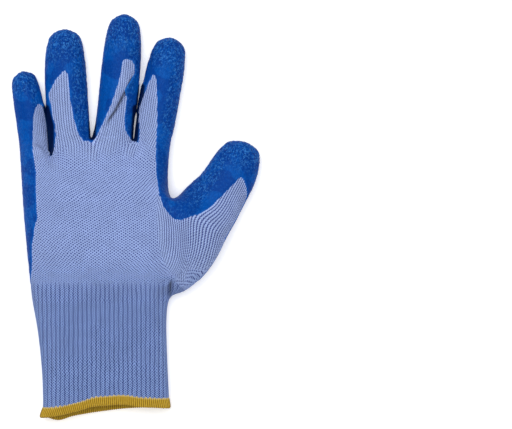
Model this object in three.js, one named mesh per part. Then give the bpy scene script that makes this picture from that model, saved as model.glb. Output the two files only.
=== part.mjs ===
// A latex coated grip glove for the left hand, lying palm down with the back of the hand up.
// Millimetres. +X points to the thumb side, +Y to the fingertips and +Z up. The origin is on the surface
// that the glove lies on, under the middle of the glove.
import * as THREE from "three";

// Driving sizes of the glove as it lies
const CUFF_LENGTH = 72;
const CUFF_WIDTH = 80;
const CUFF_HEIGHT = 17;
const PALM_LENGTH = 100;
const PALM_WIDTH = 92;
const PALM_HEIGHT = 25;
const HEM_LENGTH = 6.6;

// Walls, and the clearance that keeps neighbouring pieces apart
const KNIT_WALL = 1.3;
const COAT_WALL = 0.9;
const HEM_WALL = 0.9;
const CLEARANCE = 0.3;
const JOIN_BACKSET = 0.2;

// Each digit's length from its crotch, its width and height, the way it leans from +Y at its root in
// degrees towards the thumb, and how far it bends on its way to the tip
const DIGITS = {
  little: { length: 51, width: 19.2, height: 14, lean: -5, bend: -8 },
  ring: { length: 73, width: 27, height: 16, lean: -6, bend: 6 },
  middle: { length: 79, width: 25, height: 16, lean: 8, bend: -5 },
  index: { length: 66.5, width: 25, height: 16, lean: 9.5, bend: 2.5 },
  thumb: { length: 57.5, width: 34, height: 18, lean: 44, bend: -26 },
};

// Sections of the cuff, as shares of its length, width and height. The first two are the hem's two edges.
const CUFF_ROWS = [
  { at: 0, left: -0.53, right: 0.525, height: 0.86 },
  { at: 0, left: -0.5, right: 0.512, height: 0.88 },
  { at: 0.52, left: -0.52, right: 0.494, height: 0.94 },
  { at: 0.95, left: -0.577, right: 0.504, height: 1.08 },
];

// How far the mouth's edge lies from a straight cut, as shares of the cuff's length, on the back of the
// hand and on the palm side, by the share across from the little finger's side
const MOUTH_EDGE = [
  { across: 0, back: -0.06, palm: -0.065 },
  { across: 0.1, back: -0.08, palm: -0.093 },
  { across: 0.25, back: -0.018, palm: -0.052 },
  { across: 0.4, back: 0.028, palm: -0.025 },
  { across: 0.65, back: 0.052, palm: 0.01 },
  { across: 0.82, back: 0.024, palm: 0.018 },
  { across: 1, back: 0.02, palm: 0.015 },
];

// Sections of the hand, as shares of the palm's width, length and height: the little finger's edge, the
// line where the thumb's gusset starts (or, above the thumb, the index finger's edge) and the gusset's outer
// edge. spread is how far the columns have moved from even steps to the fingers' own places.
const PALM_ROWS = [
  { left: [-0.516, 0.09], seam: [0.455, 0.13], outer: [0.55, 0.035], height: 0.86, spread: 0.1 },
  { left: [-0.538, 0.3], seam: [0.495, 0.37], outer: [0.73, 0.19], height: 1.0, spread: 0.35 },
  { left: [-0.566, 0.6], seam: [0.461, 0.6], outer: [0.83, 0.362], height: 0.98, spread: 0.7 },
  { left: [-0.577, 0.77], seam: [0.434, 0.79], height: 0.88, spread: 0.9 },
  { left: [-0.59, 0.93], seam: [0.452, 0.98], height: 0.72, spread: 1 },
];

// The crotches between digits: the share across from the little finger's edge to the index finger's, the
// share of the palm's length, and how far the coating reaches round the crotch, of the palm's length
const CROTCHES = [
  { across: 0.197, up: 0.925, coated: 0.02 },
  { across: 0.478, up: 1.015, coated: 0.052 },
  { across: 0.755, up: 1.0, coated: 0.036 },
];
const THUMB_CROTCH = { across: 0.461, up: 0.628 };
const THUMB_WEB = { across: 0.5, up: 0.598, coated: 0.107 };
// How far the web's upper and lower lips lie behind the crotch, as a share of the palm's length
const CROTCH_BACKSET = 0.035;

// Sections along a digit, as shares of its length, width and height
const FINGER_ROWS = [
  { at: 0.13, width: 0.985, height: 1.0 },
  { at: 0.42, width: 1.0, height: 1.0 },
  { at: 0.74, width: 0.94, height: 0.96 },
  { at: 0.93, width: 0.72, height: 0.78 },
];
const THUMB_ROWS = [
  { at: 0.2, width: 1.12, height: 1.05 },
  { at: 0.45, width: 0.98, height: 1.0 },
  { at: 0.7, width: 0.9, height: 0.95 },
  { at: 0.92, width: 0.66, height: 0.78 },
];

// The round of a section: where its edge and its two shoulders lie, as shares of its height, and the furrow
// between two fingers at their crotch
const EDGE_RISE = 0.44;
const SHOULDER_INSET = 0.3;
const SHOULDER_TOP = 0.85;
const SHOULDER_BOTTOM = 0.1;
const FURROW_TOP = 0.8;
const FURROW_BOTTOM = 0.12;

// Folds and dents, from end to end in shares of the palm's width (from the cuff's middle) and length (from
// the wrist). width and depth are shares of the palm's height, a negative depth is a dent, and step sets how
// much sharper the fold's thumb side is than its other side.
const BACK_FOLDS = [
  { name: "middle finger pleat", from: [0.0, 1.1], to: [0.185, 1.4], width: 0.2, depth: 0.09, step: 0.6 },
  { name: "ring finger valley", from: [-0.13, 1.0], to: [-0.22, 1.28], width: 0.2, depth: -0.07, step: 0 },
  { name: "cuff crease", from: [-0.38, -0.6], to: [-0.42, -0.08], width: 0.2, depth: -0.07, step: 0 },
  { name: "thumb tuck", from: [0.42, 0.12], to: [0.435, -0.02], width: 0.2, depth: -0.2, step: 0 },
  { name: "wrist hollow", from: [-0.34, 0.04], to: [-0.46, 0.2], width: 0.34, depth: -0.09, step: 0 },
];
const PALM_FOLDS = [
  { name: "heel crease", from: [0.38, 0.1], to: [-0.02, 0.16], width: 0.18, depth: 0.06, step: 0 },
  { name: "thumb crease", from: [0.5, 0.25], to: [0.36, 0.46], width: 0.2, depth: 0.07, step: 0 },
  { name: "finger crease", from: [-0.4, 0.72], to: [0.1, 0.78], width: 0.2, depth: 0.05, step: 0 },
];

// Where the knit shows on the back. On the hand it lies between the coating's edges, in shares of the
// palm's length and width: from on the little finger's side, and to on the thumb's side.
const BACK_WINDOW = [
  { up: 0, from: -0.62, to: 0.62 },
  { up: 0.09, from: -0.54, to: 0.6 },
  { up: 0.17, from: -0.503, to: 0.665 },
  { up: 0.37, from: -0.488, to: 0.82 },
  { up: 0.56, from: -0.472, to: 0.9 },
  { up: 0.64, from: -0.47, to: 0.374 },
  { up: 0.83, from: -0.471, to: 0.356 },
  { up: 1, from: -0.485, to: 0.362 },
];
// From there a tongue of it runs up each digit, in shares of the digit's length and width
const TONGUES = {
  little: [
    { at: 0, from: 0.49, to: 0.96 },
    { at: 0.3, from: 0.56, to: 0.98 },
    { at: 0.47, from: 0.68, to: 0.97 },
    { at: 0.58, from: 0.86, to: 0.86 },
  ],
  ring: [
    { at: 0, from: 0.11, to: 0.86 },
    { at: 0.2, from: 0.13, to: 0.66 },
    { at: 0.44, from: 0.11, to: 0.6 },
    { at: 0.63, from: 0.5, to: 0.52 },
  ],
  middle: [
    { at: 0, from: 0.07, to: 0.9 },
    { at: 0.14, from: 0.12, to: 0.76 },
    { at: 0.4, from: 0.34, to: 0.72 },
    { at: 0.58, from: 0.56, to: 0.84 },
    { at: 0.65, from: 0.7, to: 0.74 },
  ],
  index: [
    { at: 0, from: 0.08, to: 0.58 },
    { at: 0.26, from: 0.06, to: 0.5 },
    { at: 0.5, from: 0.1, to: 0.38 },
    { at: 0.66, from: 0.22, to: 0.26 },
  ],
  thumb: [
    { at: 0, from: 0.4, to: 0.97 },
    { at: 0.25, from: 0.47, to: 0.96 },
    { at: 0.5, from: 0.6, to: 0.94 },
    { at: 0.64, from: 0.8, to: 0.9 },
    { at: 0.7, from: 0.86, to: 0.86 },
  ],
};
const TONGUE_ROOT = -0.1; // where a tongue starts, below the digit's root

// Where the coating starts on the palm side, in shares of the palm's width and length
const PALM_LINE = [
  { across: -0.495, up: -0.114 },
  { across: -0.34, up: -0.155 },
  { across: 0, up: -0.158 },
  { across: 0.21, up: -0.116 },
  { across: 0.337, up: -0.045 },
  { across: 0.45, up: 0 },
];
// How far from its line, in millimetres, the coating's edge is felt where the back meets the palm
const EDGE_BAND = 3;
// A triangle is cut no nearer to its corner than this share of the side
const CUT_MARGIN = 0.12;
// Where the hem's layer inside the cuff ends, as a share of the hem's length
const HEM_INSIDE = 0.75;

const DIGIT_COLUMNS = 2;
const THUMB_COLUMN = 4 * DIGIT_COLUMNS;
const LAST_COLUMN = 5 * DIGIT_COLUMNS;
const FIT_PASSES = 30; // passes that draw the smoothed surface onto its sections
const SOLE_FLAT = 0.35; // how deep the glove's weight presses its underside flat, in millimetres

// A point of the surface is [x, y, z, side, and then its normal]. side is 1 on the back of the hand, -1 on
// the palm side and 0 on the edge between them.
const SIDE = 3;
const NORMAL = 4;

const NAMES = Object.keys(DIGITS);
const mix = (a, b, t) => a + (b - a) * t;
const clamp = (x, low, high) => Math.min(high, Math.max(low, x));
const smooth = (t) => clamp(t, 0, 1) ** 2 * (3 - 2 * clamp(t, 0, 1));
const radians = THREE.MathUtils.degToRad;
const steps = (count) => Array.from({ length: count + 1 }, (_, i) => i / count);
const blend = (terms) => terms[0][1].map((_, k) => terms.reduce((sum, [w, p]) => sum + w * p[k], 0));

// A table's value between its rows, and past its ends along the last step
function lookUp(rows, key, value, at) {
  const next = rows.findIndex((row) => row[key] > at);
  const i = next < 0 ? rows.length - 1 : Math.max(next, 1);
  const [a, b] = [rows[i - 1], rows[i]];
  return mix(a[value], b[value], (at - a[key]) / (b[key] - a[key]));
}

const handPoint = ([across, up]) => [across * PALM_WIDTH, CUFF_LENGTH + up * PALM_LENGTH];

// One section of the surface: the back's columns, the right edge, the palm's columns and the left edge
function ringPoints({ columns, left, right, height }) {
  const edge = (p) => [p[0], p[1], height * EDGE_RISE, 0];
  const back = columns.map((c) => [c.x, c.y, height * c.top, 1]);
  const palm = columns.map((c) => [c.x, c.palmY ?? c.y, height * c.bottom, -1]).reverse();
  return [...back, edge(right), ...palm, edge(left)];
}

// Columns along straight legs from corner to corner, drawn in at both ends by the round of the section
function columnsAlong(corners, shares, height) {
  const pull = (p, q) => {
    const t = (SHOULDER_INSET * height) / Math.hypot(q[0] - p[0], q[1] - p[1]);
    return [mix(p[0], q[0], t), mix(p[1], q[1], t)];
  };
  const [first, last] = [pull(corners[0], corners[1]), pull(corners.at(-1), corners.at(-2))];
  const ends = [first, ...corners.slice(1, -1), last];
  return shares.map((share, i) => {
    const leg = Math.min(Math.floor(share), ends.length - 2);
    const shoulder = i === 0 || i === shares.length - 1;
    return {
      x: mix(ends[leg][0], ends[leg + 1][0], share - leg),
      y: mix(ends[leg][1], ends[leg + 1][1], share - leg),
      top: shoulder ? SHOULDER_TOP : 1,
      bottom: shoulder ? SHOULDER_BOTTOM : 0,
    };
  });
}

// Shares across the four fingers for each column, between even steps and the fingers' own places
function fingerShares(spread) {
  const places = [0, ...CROTCHES.map((c) => c.across), 1];
  return steps(THUMB_COLUMN).map((even) => {
    const finger = Math.min(Math.floor(even * 4), 3);
    return mix(even, mix(places[finger], places[finger + 1], even * 4 - finger), spread);
  });
}

function cuffRing(section, row) {
  const y = section.at * CUFF_LENGTH + (row === 1 ? HEM_LENGTH : 0);
  const height = section.height * CUFF_HEIGHT;
  const [left, right] = [section.left, section.right].map((share) => [share * CUFF_WIDTH, y]);
  const columns = columnsAlong([left, right], steps(LAST_COLUMN), height);
  if (row < 2) {
    const edgeAt = (across, side) => lookUp(MOUTH_EDGE, "across", side, across) * CUFF_LENGTH;
    columns.forEach((c, j) => {
      c.palmY = c.y + edgeAt(j / LAST_COLUMN, "palm");
      c.y += edgeAt(j / LAST_COLUMN, "back");
    });
    left[1] += edgeAt(0, "back");
    right[1] += edgeAt(1, "back");
  }
  return ringPoints({ columns, left, right, height });
}

function palmRing(section) {
  const height = section.height * PALM_HEIGHT;
  const corners = [section.left, section.seam, section.outer].filter(Boolean).map(handPoint);
  const shares = fingerShares(section.spread);
  if (section.outer) shares.push(1.5, 2);
  const columns = columnsAlong(corners, shares, height);
  return ringPoints({ columns, left: corners[0], right: corners.at(-1), height });
}

// At the crotches, furrows between the fingers run a little way into the back and the palm
function furrowRing(section) {
  const ring = palmRing(section);
  const height = section.height * PALM_HEIGHT;
  CROTCHES.forEach(({ up }, k) => {
    const column = DIGIT_COLUMNS * (k + 1);
    const y = handPoint([0, up - CROTCH_BACKSET])[1];
    for (const [point, rise] of [[ring[column], FURROW_TOP], [palmOf(ring, column), FURROW_BOTTOM]]) {
      point[1] = y;
      point[2] = height * rise;
    }
  });
  return ring;
}

const palmOf = (ring, column) => ring[ring.length - 2 - column];

// A digit's section at a share of its length lies on an arc: its middle and the direction across it
function digitFrame({ root, length, lean, bend }, at) {
  const [start, end] = [radians(lean), radians(lean + bend * at)];
  const radius = length / radians(bend);
  const x = root[0] + radius * (Math.cos(start) - Math.cos(end));
  const y = root[1] + radius * (Math.sin(end) - Math.sin(start));
  return { x, y, across: [Math.cos(end), -Math.sin(end)] };
}

// Where a point lies on a digit: the share of its length from the root, and the share of its width
function placeOn({ root, length, width, lean, bend }, [x, y]) {
  const radius = length / radians(bend);
  const turned = Math.sign(radius);
  const dx = x - root[0] - radius * Math.cos(radians(lean));
  const dy = y - root[1] + radius * Math.sin(radians(lean));
  const angle = Math.atan2(turned * dy, -turned * dx);
  const offset = radius - turned * Math.hypot(dx, dy);
  return { at: (angle - radians(lean)) / radians(bend), across: offset / width + 0.5 };
}

function digitRing(digit, section) {
  const frame = digitFrame(digit, section.at);
  const half = (section.width * digit.width) / 2;
  const height = section.height * digit.height;
  const [left, right] = [-half, half].map((offset) => [
    frame.x + frame.across[0] * offset,
    frame.y + frame.across[1] * offset,
  ]);
  const columns = columnsAlong([left, right], steps(DIGIT_COLUMNS), height);
  return ringPoints({ columns, left, right, height });
}

// The control cage: rings of points from the mouth to the crotches, then rings up each digit to its tip.
// owners names the knitted piece that each of its quads belongs to.
function buildCage() {
  const points = [];
  const quads = [];
  const owners = [];
  const add = (list) => list.map((p) => points.push(p) - 1);
  const close = (owner, quad) => {
    quads.push(quad);
    owners.push(owner);
  };
  const join = (owner, a, b) => a.forEach((_, i) => {
    const j = (i + 1) % a.length;
    close(owner, [a[i], a[j], b[j], b[i]]);
  });

  const cuff = CUFF_ROWS.map((section, row) => add(cuffRing(section, row)));
  const lastRow = PALM_ROWS.length - 1;
  const hand = PALM_ROWS.map((section, i) => add(i < lastRow ? palmRing(section) : furrowRing(section)));
  const web = ([x, y], ring, column) => {
    const height = (points[ring[column]][2] + points[palmOf(ring, column)][2]) / 2;
    return add([[x, y, height, 0]])[0];
  };
  const span = (ring, from, to, leftEdge, rightEdge) => {
    const columns = ring.slice(from, to + 1);
    const palm = columns.map((_, j) => palmOf(ring, from + j)).reverse();
    return [...columns, rightEdge, ...palm, leftEdge];
  };

  // The rings below the thumb's crotch are whole. There the thumb leaves the four fingers' ring.
  [...cuff.slice(1), hand[0]].forEach((ring, i) => join("ribbed_cuff", cuff[i], ring));
  hand.slice(1, 3).forEach((ring, i) => join("knit_hand", hand[i], ring));
  const split = hand[2];
  const thumbWeb = web(handPoint([THUMB_CROTCH.across, THUMB_CROTCH.up]), split, THUMB_COLUMN);
  const roots = { thumb: span(split, THUMB_COLUMN, LAST_COLUMN, thumbWeb, split[LAST_COLUMN + 1]) };
  join("knit_hand", span(split, 0, THUMB_COLUMN, split.at(-1), thumbWeb), hand[3]);
  join("knit_hand", hand[3], hand[4]);

  // At the last section the ring divides again, with a web between each two fingers.
  const top = hand[4];
  const sides = [points[top.at(-1)][0], points[top[THUMB_COLUMN + 1]][0]];
  const webs = CROTCHES.map(({ across, up }, k) =>
    web([mix(...sides, across), handPoint([0, up])[1]], top, DIGIT_COLUMNS * (k + 1)));
  const edges = [top.at(-1), ...webs, top[THUMB_COLUMN + 1]];
  NAMES.slice(0, 4).forEach((name, k) => {
    roots[name] = span(top, DIGIT_COLUMNS * k, DIGIT_COLUMNS * (k + 1), edges[k], edges[k + 1]);
  });

  const digits = NAMES.map((name) => {
    const [left, right] = [points[roots[name].at(-1)], points[roots[name][DIGIT_COLUMNS + 1]]];
    const digit = { ...DIGITS[name], name, root: [(left[0] + right[0]) / 2, (left[1] + right[1]) / 2] };
    const tube = `knit_${name}`;
    let last = roots[name];
    for (const section of name === "thumb" ? THUMB_ROWS : FINGER_ROWS) {
      const next = add(digitRing(digit, section));
      join(tube, last, next);
      last = next;
    }
    const end = digitFrame(digit, 1);
    const [tip] = add([[end.x, end.y, digit.height * EDGE_RISE, 0]]);
    for (let i = 0; i < last.length; i += 2) {
      close(tube, [last[i], last[i + 1], last[(i + 2) % last.length], tip]);
    }
    return digit;
  });
  return { points, quads, owners, digits, mouth: cuff[0], hemTop: cuff[1] };
}

// Neighbours of every point: those across its edges, those across its faces, and its two on an open edge
function neighbours({ points, quads }) {
  const around = points.map(() => ({ near: new Map(), far: [], faces: [] }));
  quads.forEach((quad, f) => quad.forEach((id, i) => {
    for (const other of [quad[(i + 1) % 4], quad[(i + 3) % 4]]) {
      around[id].near.set(other, (around[id].near.get(other) ?? 0) + 1);
    }
    around[id].far.push(quad[(i + 2) % 4]);
    around[id].faces.push(f);
  }));
  return around.map(({ near, far, faces }) => ({
    near: [...near.keys()],
    far,
    faces,
    open: [...near].filter(([, uses]) => uses === 1).map(([id]) => id),
  }));
}

// Where a smooth Catmull-Clark surface ends up at each point of its mesh
function limitPoints(points, around) {
  return points.map((p, id) => {
    const { near, far, open } = around[id];
    if (open.length) return blend([[4 / 6, p], ...open.map((o) => [1 / 6, points[o]])]);
    const share = 1 / (near.length * (near.length + 5));
    return blend([
      [near.length ** 2 * share, p],
      ...near.map((o) => [4 * share, points[o]]),
      ...far.map((o) => [share, points[o]]),
    ]);
  });
}

// Moves the cage until its smooth surface runs through the sections' own points
function fitCage(cage) {
  const around = neighbours(cage);
  let points = cage.points;
  for (let pass = 0; pass < FIT_PASSES; pass += 1) {
    const reached = limitPoints(points, around);
    points = points.map((p, id) => blend([[1, p], [1, cage.points[id]], [-1, reached[id]]]));
  }
  return { ...cage, points };
}

// One step of Catmull-Clark subdivision. midpoint(a, b) gives the new point on an edge.
function subdivide({ points, quads }) {
  const around = neighbours({ points, quads });
  const faces = quads.map((quad) => blend(quad.map((id) => [0.25, points[id]])));
  const made = points.map((p, id) => {
    const { near, open, faces: touching } = around[id];
    if (open.length) return blend([[0.75, p], ...open.map((o) => [0.125, points[o]])]);
    const n = near.length;
    return blend([
      [(n - 2) / n, p],
      ...near.map((o) => [1 / (n * n), points[o]]),
      ...touching.map((f) => [1 / (n * n), faces[f]]),
    ]);
  });
  const key = (a, b) => `${Math.min(a, b)} ${Math.max(a, b)}`;
  const edges = new Map();
  quads.forEach((quad, f) => quad.forEach((a, i) => {
    const name = key(a, quad[(i + 1) % 4]);
    edges.set(name, [...(edges.get(name) ?? []), f]);
  }));
  const midpoints = new Map();
  for (const [name, touching] of edges) {
    const ends = name.split(" ").map((id) => points[id]);
    const terms = ends.map((p) => [touching.length === 2 ? 0.25 : 0.5, p]);
    if (touching.length === 2) terms.push(...touching.map((f) => [0.25, faces[f]]));
    midpoints.set(name, made.push(blend(terms)) - 1);
  }
  const firstFace = made.length;
  made.push(...faces);
  const midpoint = (a, b) => midpoints.get(key(a, b));
  const finer = quads.flatMap((quad, f) => quad.map((a, i) => {
    const [before, after] = [quad[(i + 3) % 4], quad[(i + 1) % 4]];
    return [a, midpoint(a, after), firstFace + f, midpoint(before, a)];
  }));
  return { points: made, quads: finer, midpoint };
}

// How far the folds lift the surface at a place on the hand
function foldLift(folds, [x, y]) {
  return folds.reduce((sum, { from, to, width, depth, step }) => {
    const [a, b] = [handPoint(from), handPoint(to)];
    const [dx, dy] = [b[0] - a[0], b[1] - a[1]];
    const along = clamp(((x - a[0]) * dx + (y - a[1]) * dy) / (dx ** 2 + dy ** 2), 0, 1);
    const reach = Math.hypot(x - a[0] - along * dx, y - a[1] - along * dy);
    const towardsThumb = (x - a[0]) * dy > (y - a[1]) * dx;
    const half = width * PALM_HEIGHT * (towardsThumb ? 1 - step : 1 + step);
    const fade = Math.sin(Math.PI * mix(0.12, 0.88, along));
    return sum + depth * PALM_HEIGHT * fade * Math.exp(-((reach / half) ** 2));
  }, 0);
}

function withNormals(points, quads) {
  const sums = points.map(() => new THREE.Vector3());
  for (const quad of quads) {
    const [a, b, c, d] = quad.map((id) => new THREE.Vector3(...points[id].slice(0, 3)));
    const normal = c.sub(a).cross(d.sub(b));
    for (const id of quad) sums[id].add(normal);
  }
  return points.map((p, id) => [...p, ...sums[id].normalize().toArray()]);
}

// The glove's outermost surface: smooth, folded, and pressed flat where it lies
function gloveSurface() {
  const cage = fitCage(buildCage());
  const mesh = subdivide(cage);
  const points = limitPoints(mesh.points, neighbours(mesh)).map((p) => {
    const folds = foldLift(BACK_FOLDS, p) * smooth(p[SIDE]) + foldLift(PALM_FOLDS, p) * smooth(-p[SIDE]);
    return [p[0], p[1], Math.max(0, p[2] + folds - SOLE_FLAT), p[SIDE]];
  });
  const loop = (ring) => ring.flatMap((a, i) => [a, mesh.midpoint(a, ring[(i + 1) % ring.length])]);
  const [mouth, hemTop] = [loop(cage.mouth), loop(cage.hemTop)];
  straightenHem(points, mesh.quads, mouth, hemTop);
  const triangles = mesh.quads.flatMap(([a, b, c, d]) => {
    const length = (i, j) => Math.hypot(...[0, 1, 2].map((k) => points[i][k] - points[j][k]));
    return length(a, c) < length(b, d) ? [[a, b, c], [a, c, d]] : [[a, b, d], [b, c, d]];
  });
  // Four smaller quads came from each of the cage's, and two triangles from each of those
  const owners = triangles.map((_, i) => cage.owners[Math.floor(i / 8)]);
  return { points: withNormals(points, mesh.quads), triangles, owners, digits: cage.digits, mouth, hemTop };
}

// Lays the points between the hem's two edges half way between them, so that the hem is straight
function straightenHem(points, quads, mouth, hemTop) {
  const rank = new Map(mouth.map((id, i) => [id, i]));
  quads.forEach((quad) => quad.forEach((id, i) => {
    const [before, next] = [quad[(i + 3) % 4], quad[(i + 1) % 4]];
    const between = rank.has(next) ? before : next;
    if (rank.has(id)) points[between] = blend([[0.5, points[id]], [0.5, points[hemTop[rank.get(id)]]]]);
  }));
}

const under = (p, depth) => [0, 1, 2].map((k) => p[k] - depth * p[NORMAL + k]);

function meshOf(name, positions, triangles, material) {
  const geometry = new THREE.BufferGeometry();
  geometry.setAttribute("position", new THREE.Float32BufferAttribute(positions.flat(), 3));
  geometry.setIndex(triangles.flat());
  geometry.computeVertexNormals();
  const mesh = new THREE.Mesh(geometry, material);
  mesh.name = name;
  return mesh;
}

// Draws the edge that one piece shares with the others back from it, towards the piece's own middle
function drawBack(points, own, others) {
  const ids = new Set(own.flat());
  const shared = new Set(others.flat().filter((id) => ids.has(id)));
  const drawn = [...points];
  for (const id of shared) {
    const beside = new Set(own.filter((triangle) => triangle.includes(id)).flat());
    const inner = [...beside].filter((other) => !shared.has(other));
    const goal = blend(inner.map((other) => [1 / inner.length, points[other]]));
    const t = JOIN_BACKSET / Math.hypot(...[0, 1, 2].map((k) => goal[k] - points[id][k]));
    drawn[id] = blend([[1 - t, points[id]], [t, goal]]);
  }
  return drawn;
}

// A closed wall between two depths under a surface, with a rim along the surface's open edges
function wall(name, points, triangles, [outerDepth, innerDepth], material) {
  const used = [...new Set(triangles.flat())];
  const place = new Map(used.map((id, i) => [id, i]));
  const outer = triangles.map((triangle) => triangle.map((id) => place.get(id)));
  const toInner = (id) => id + used.length;
  const edges = new Set(outer.flatMap(([a, b, c]) => [`${a} ${b}`, `${b} ${c}`, `${c} ${a}`]));
  const pairs = [...edges].map((edge) => edge.split(" ").map(Number));
  const rim = pairs.filter(([a, b]) => !edges.has(`${b} ${a}`));
  const faces = [
    ...outer,
    ...outer.map(([a, b, c]) => [c, b, a].map(toInner)),
    ...rim.flatMap(([a, b]) => [[b, a, toInner(a)], [b, toInner(a), toInner(b)]]),
  ];
  const positions = [outerDepth, innerDepth].flatMap((depth) => used.map((id) => under(points[id], depth)));
  return meshOf(name, positions, faces, material);
}

// Keeps the part of a surface where the values at its points are above zero
function trim(points, triangles, values) {
  const made = [...points];
  const cuts = new Map();
  const cut = (a, b) => {
    const key = `${Math.min(a, b)} ${Math.max(a, b)}`;
    if (!cuts.has(key)) {
      const t = clamp(values[a] / (values[a] - values[b]), CUT_MARGIN, 1 - CUT_MARGIN);
      cuts.set(key, made.push(blend([[1 - t, points[a]], [t, points[b]]])) - 1);
    }
    return cuts.get(key);
  };
  const kept = triangles.flatMap((triangle) => {
    const outline = triangle.flatMap((a, i) => {
      const b = triangle[(i + 1) % 3];
      const crossing = values[a] > 0 !== values[b] > 0 ? [cut(a, b)] : [];
      return values[a] > 0 ? [a, ...crossing] : crossing;
    });
    return outline.slice(2).map((c, i) => [outline[0], outline[i + 1], c]);
  });
  return { points: made, triangles: kept };
}

// Millimetres from the edge of the knit that shows on the back: positive on the coating, negative on the
// knit
function coatingOnBack(digits, [x, y]) {
  const up = (y - CUFF_LENGTH) / PALM_LENGTH;
  const [left, right] = [PALM_ROWS.at(-1).left, PALM_ROWS.at(-1).seam].map(handPoint);
  const crotches = CROTCHES.map((crotch) => {
    const place = handPoint([0, crotch.up]);
    return { x: mix(left[0], right[0], crotch.across), y: place[1], coated: crotch.coated };
  });
  const tops = [{ x: left[0], y: left[1] }, ...crotches, { x: right[0], y: right[1] }];
  const hand = Math.max(
    lookUp(BACK_WINDOW, "up", "from", up) * PALM_WIDTH - x,
    x - lookUp(BACK_WINDOW, "up", "to", up) * PALM_WIDTH,
    y - lookUp(tops, "x", "y", x),
  );
  const tongues = digits.map((digit) => {
    const { at, across } = placeOn(digit, [x, y]);
    const [from, to] = ["from", "to"].map((side) => lookUp(TONGUES[digit.name], "at", side, at));
    const beside = Math.max(from - across, across - to) * digit.width;
    return Math.max(beside, (TONGUE_ROOT - at) * digit.length);
  });
  const [thumbX, thumbY] = handPoint([THUMB_WEB.across, THUMB_WEB.up]);
  const webs = [...crotches, { x: thumbX, y: thumbY, coated: THUMB_WEB.coated }].map(
    (web) => web.coated * PALM_LENGTH - Math.hypot(x - web.x, y - web.y),
  );
  return Math.max(Math.min(hand, ...tongues), ...webs);
}

function coatingOnPalm([x, y]) {
  return y - handPoint([0, lookUp(PALM_LINE, "across", "up", x / PALM_WIDTH)])[1];
}

// The liner's knitted tubes: the cuff, the hand and each digit
function knitLiner({ points, triangles, owners, mouth, hemTop }) {
  const lip = (HEM_WALL + CLEARANCE) / HEM_LENGTH;
  const shortened = [...points];
  mouth.forEach((id, i) => {
    shortened[id] = blend([[1 - lip, points[id]], [lip, points[hemTop[i]]]]);
  });
  const outerDepth = COAT_WALL + CLEARANCE;
  return [...new Set(owners)].map((owner) => {
    const own = triangles.filter((_, i) => owners[i] === owner);
    const others = triangles.filter((_, i) => owners[i] !== owner);
    const material = new THREE.MeshStandardMaterial({
      color: owner === "ribbed_cuff" ? 0x6f83bf : 0x97a4da,
      roughness: 0.9,
      metalness: 0,
    });
    return wall(owner, drawBack(shortened, own, others), own, [outerDepth, outerDepth + KNIT_WALL], material);
  });
}

function latexCoating({ points, triangles, digits }) {
  const values = points.map((p) => {
    const [back, palm] = [coatingOnBack(digits, p), coatingOnPalm(p)];
    const near = (value) => clamp(value, -EDGE_BAND, EDGE_BAND);
    return mix(near(palm), near(back), clamp(p[SIDE] + 0.5, 0, 1));
  });
  const coated = trim(points, triangles, values);
  const material = new THREE.MeshStandardMaterial({ color: 0x0a4fa3, roughness: 0.45, metalness: 0 });
  return wall("latex_coating", coated.points, coated.triangles, [0, COAT_WALL], material);
}

// The hem wraps the cuff's edge: an outer layer, a lip beyond the edge and a shorter layer inside
function cuffHem({ points, mouth, hemTop }) {
  const lip = HEM_WALL / HEM_LENGTH;
  const pocketTop = COAT_WALL; // the knit lies as deep under the hem as it does under the coating
  const pocketDepth = pocketTop + KNIT_WALL + 2 * CLEARANCE;
  const profile = [
    { along: 0, depth: 0 },
    { along: 1, depth: 0 },
    { along: 1, depth: pocketTop },
    { along: lip, depth: pocketTop },
    { along: lip, depth: pocketDepth },
    { along: HEM_INSIDE, depth: pocketDepth },
    { along: HEM_INSIDE, depth: pocketDepth + HEM_WALL },
    { along: 0, depth: pocketDepth + HEM_WALL },
  ];
  const positions = mouth.flatMap((id, i) => profile.map(({ along, depth }) =>
    under(blend([[1 - along, points[id]], [along, points[hemTop[i]]]]), depth)));
  const count = profile.length;
  const faces = mouth.flatMap((_, i) => profile.flatMap((__, k) => {
    const [here, there] = [i * count, ((i + 1) % mouth.length) * count];
    const next = (k + 1) % count;
    return [[here + k, there + k, there + next], [here + k, there + next, here + next]];
  }));
  const material = new THREE.MeshStandardMaterial({ color: 0xcfa83a, roughness: 0.85, metalness: 0 });
  return meshOf("cuff_hem", positions, faces, material);
}

const surface = gloveSurface();
const glove = new THREE.Group();
glove.add(...knitLiner(surface), latexCoating(surface), cuffHem(surface));

const box = new THREE.Box3().setFromObject(glove);
const middle = box.getCenter(new THREE.Vector3());
glove.position.set(-middle.x, -middle.y, -box.min.z);

export default glove;
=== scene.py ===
import math

import bpy
import numpy as np
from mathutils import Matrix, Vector, noise


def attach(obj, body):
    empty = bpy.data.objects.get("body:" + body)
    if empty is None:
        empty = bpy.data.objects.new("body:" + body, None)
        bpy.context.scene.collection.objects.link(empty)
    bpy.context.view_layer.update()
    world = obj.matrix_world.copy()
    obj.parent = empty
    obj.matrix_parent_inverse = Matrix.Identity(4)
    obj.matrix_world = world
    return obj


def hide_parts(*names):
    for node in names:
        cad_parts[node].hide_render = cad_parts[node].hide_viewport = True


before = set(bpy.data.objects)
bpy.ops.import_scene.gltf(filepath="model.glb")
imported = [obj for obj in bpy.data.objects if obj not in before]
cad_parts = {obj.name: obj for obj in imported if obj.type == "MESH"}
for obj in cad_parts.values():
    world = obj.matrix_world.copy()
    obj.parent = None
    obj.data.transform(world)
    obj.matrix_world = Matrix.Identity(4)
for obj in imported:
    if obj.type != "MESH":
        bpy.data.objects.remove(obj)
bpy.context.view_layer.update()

# Sizes of the glove in millimetres, as its solids have them
CUFF_LENGTH = 72
CUFF_WIDTH = 80
CUFF_HEIGHT = 17
PALM_LENGTH = 100
PALM_WIDTH = 92
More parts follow.
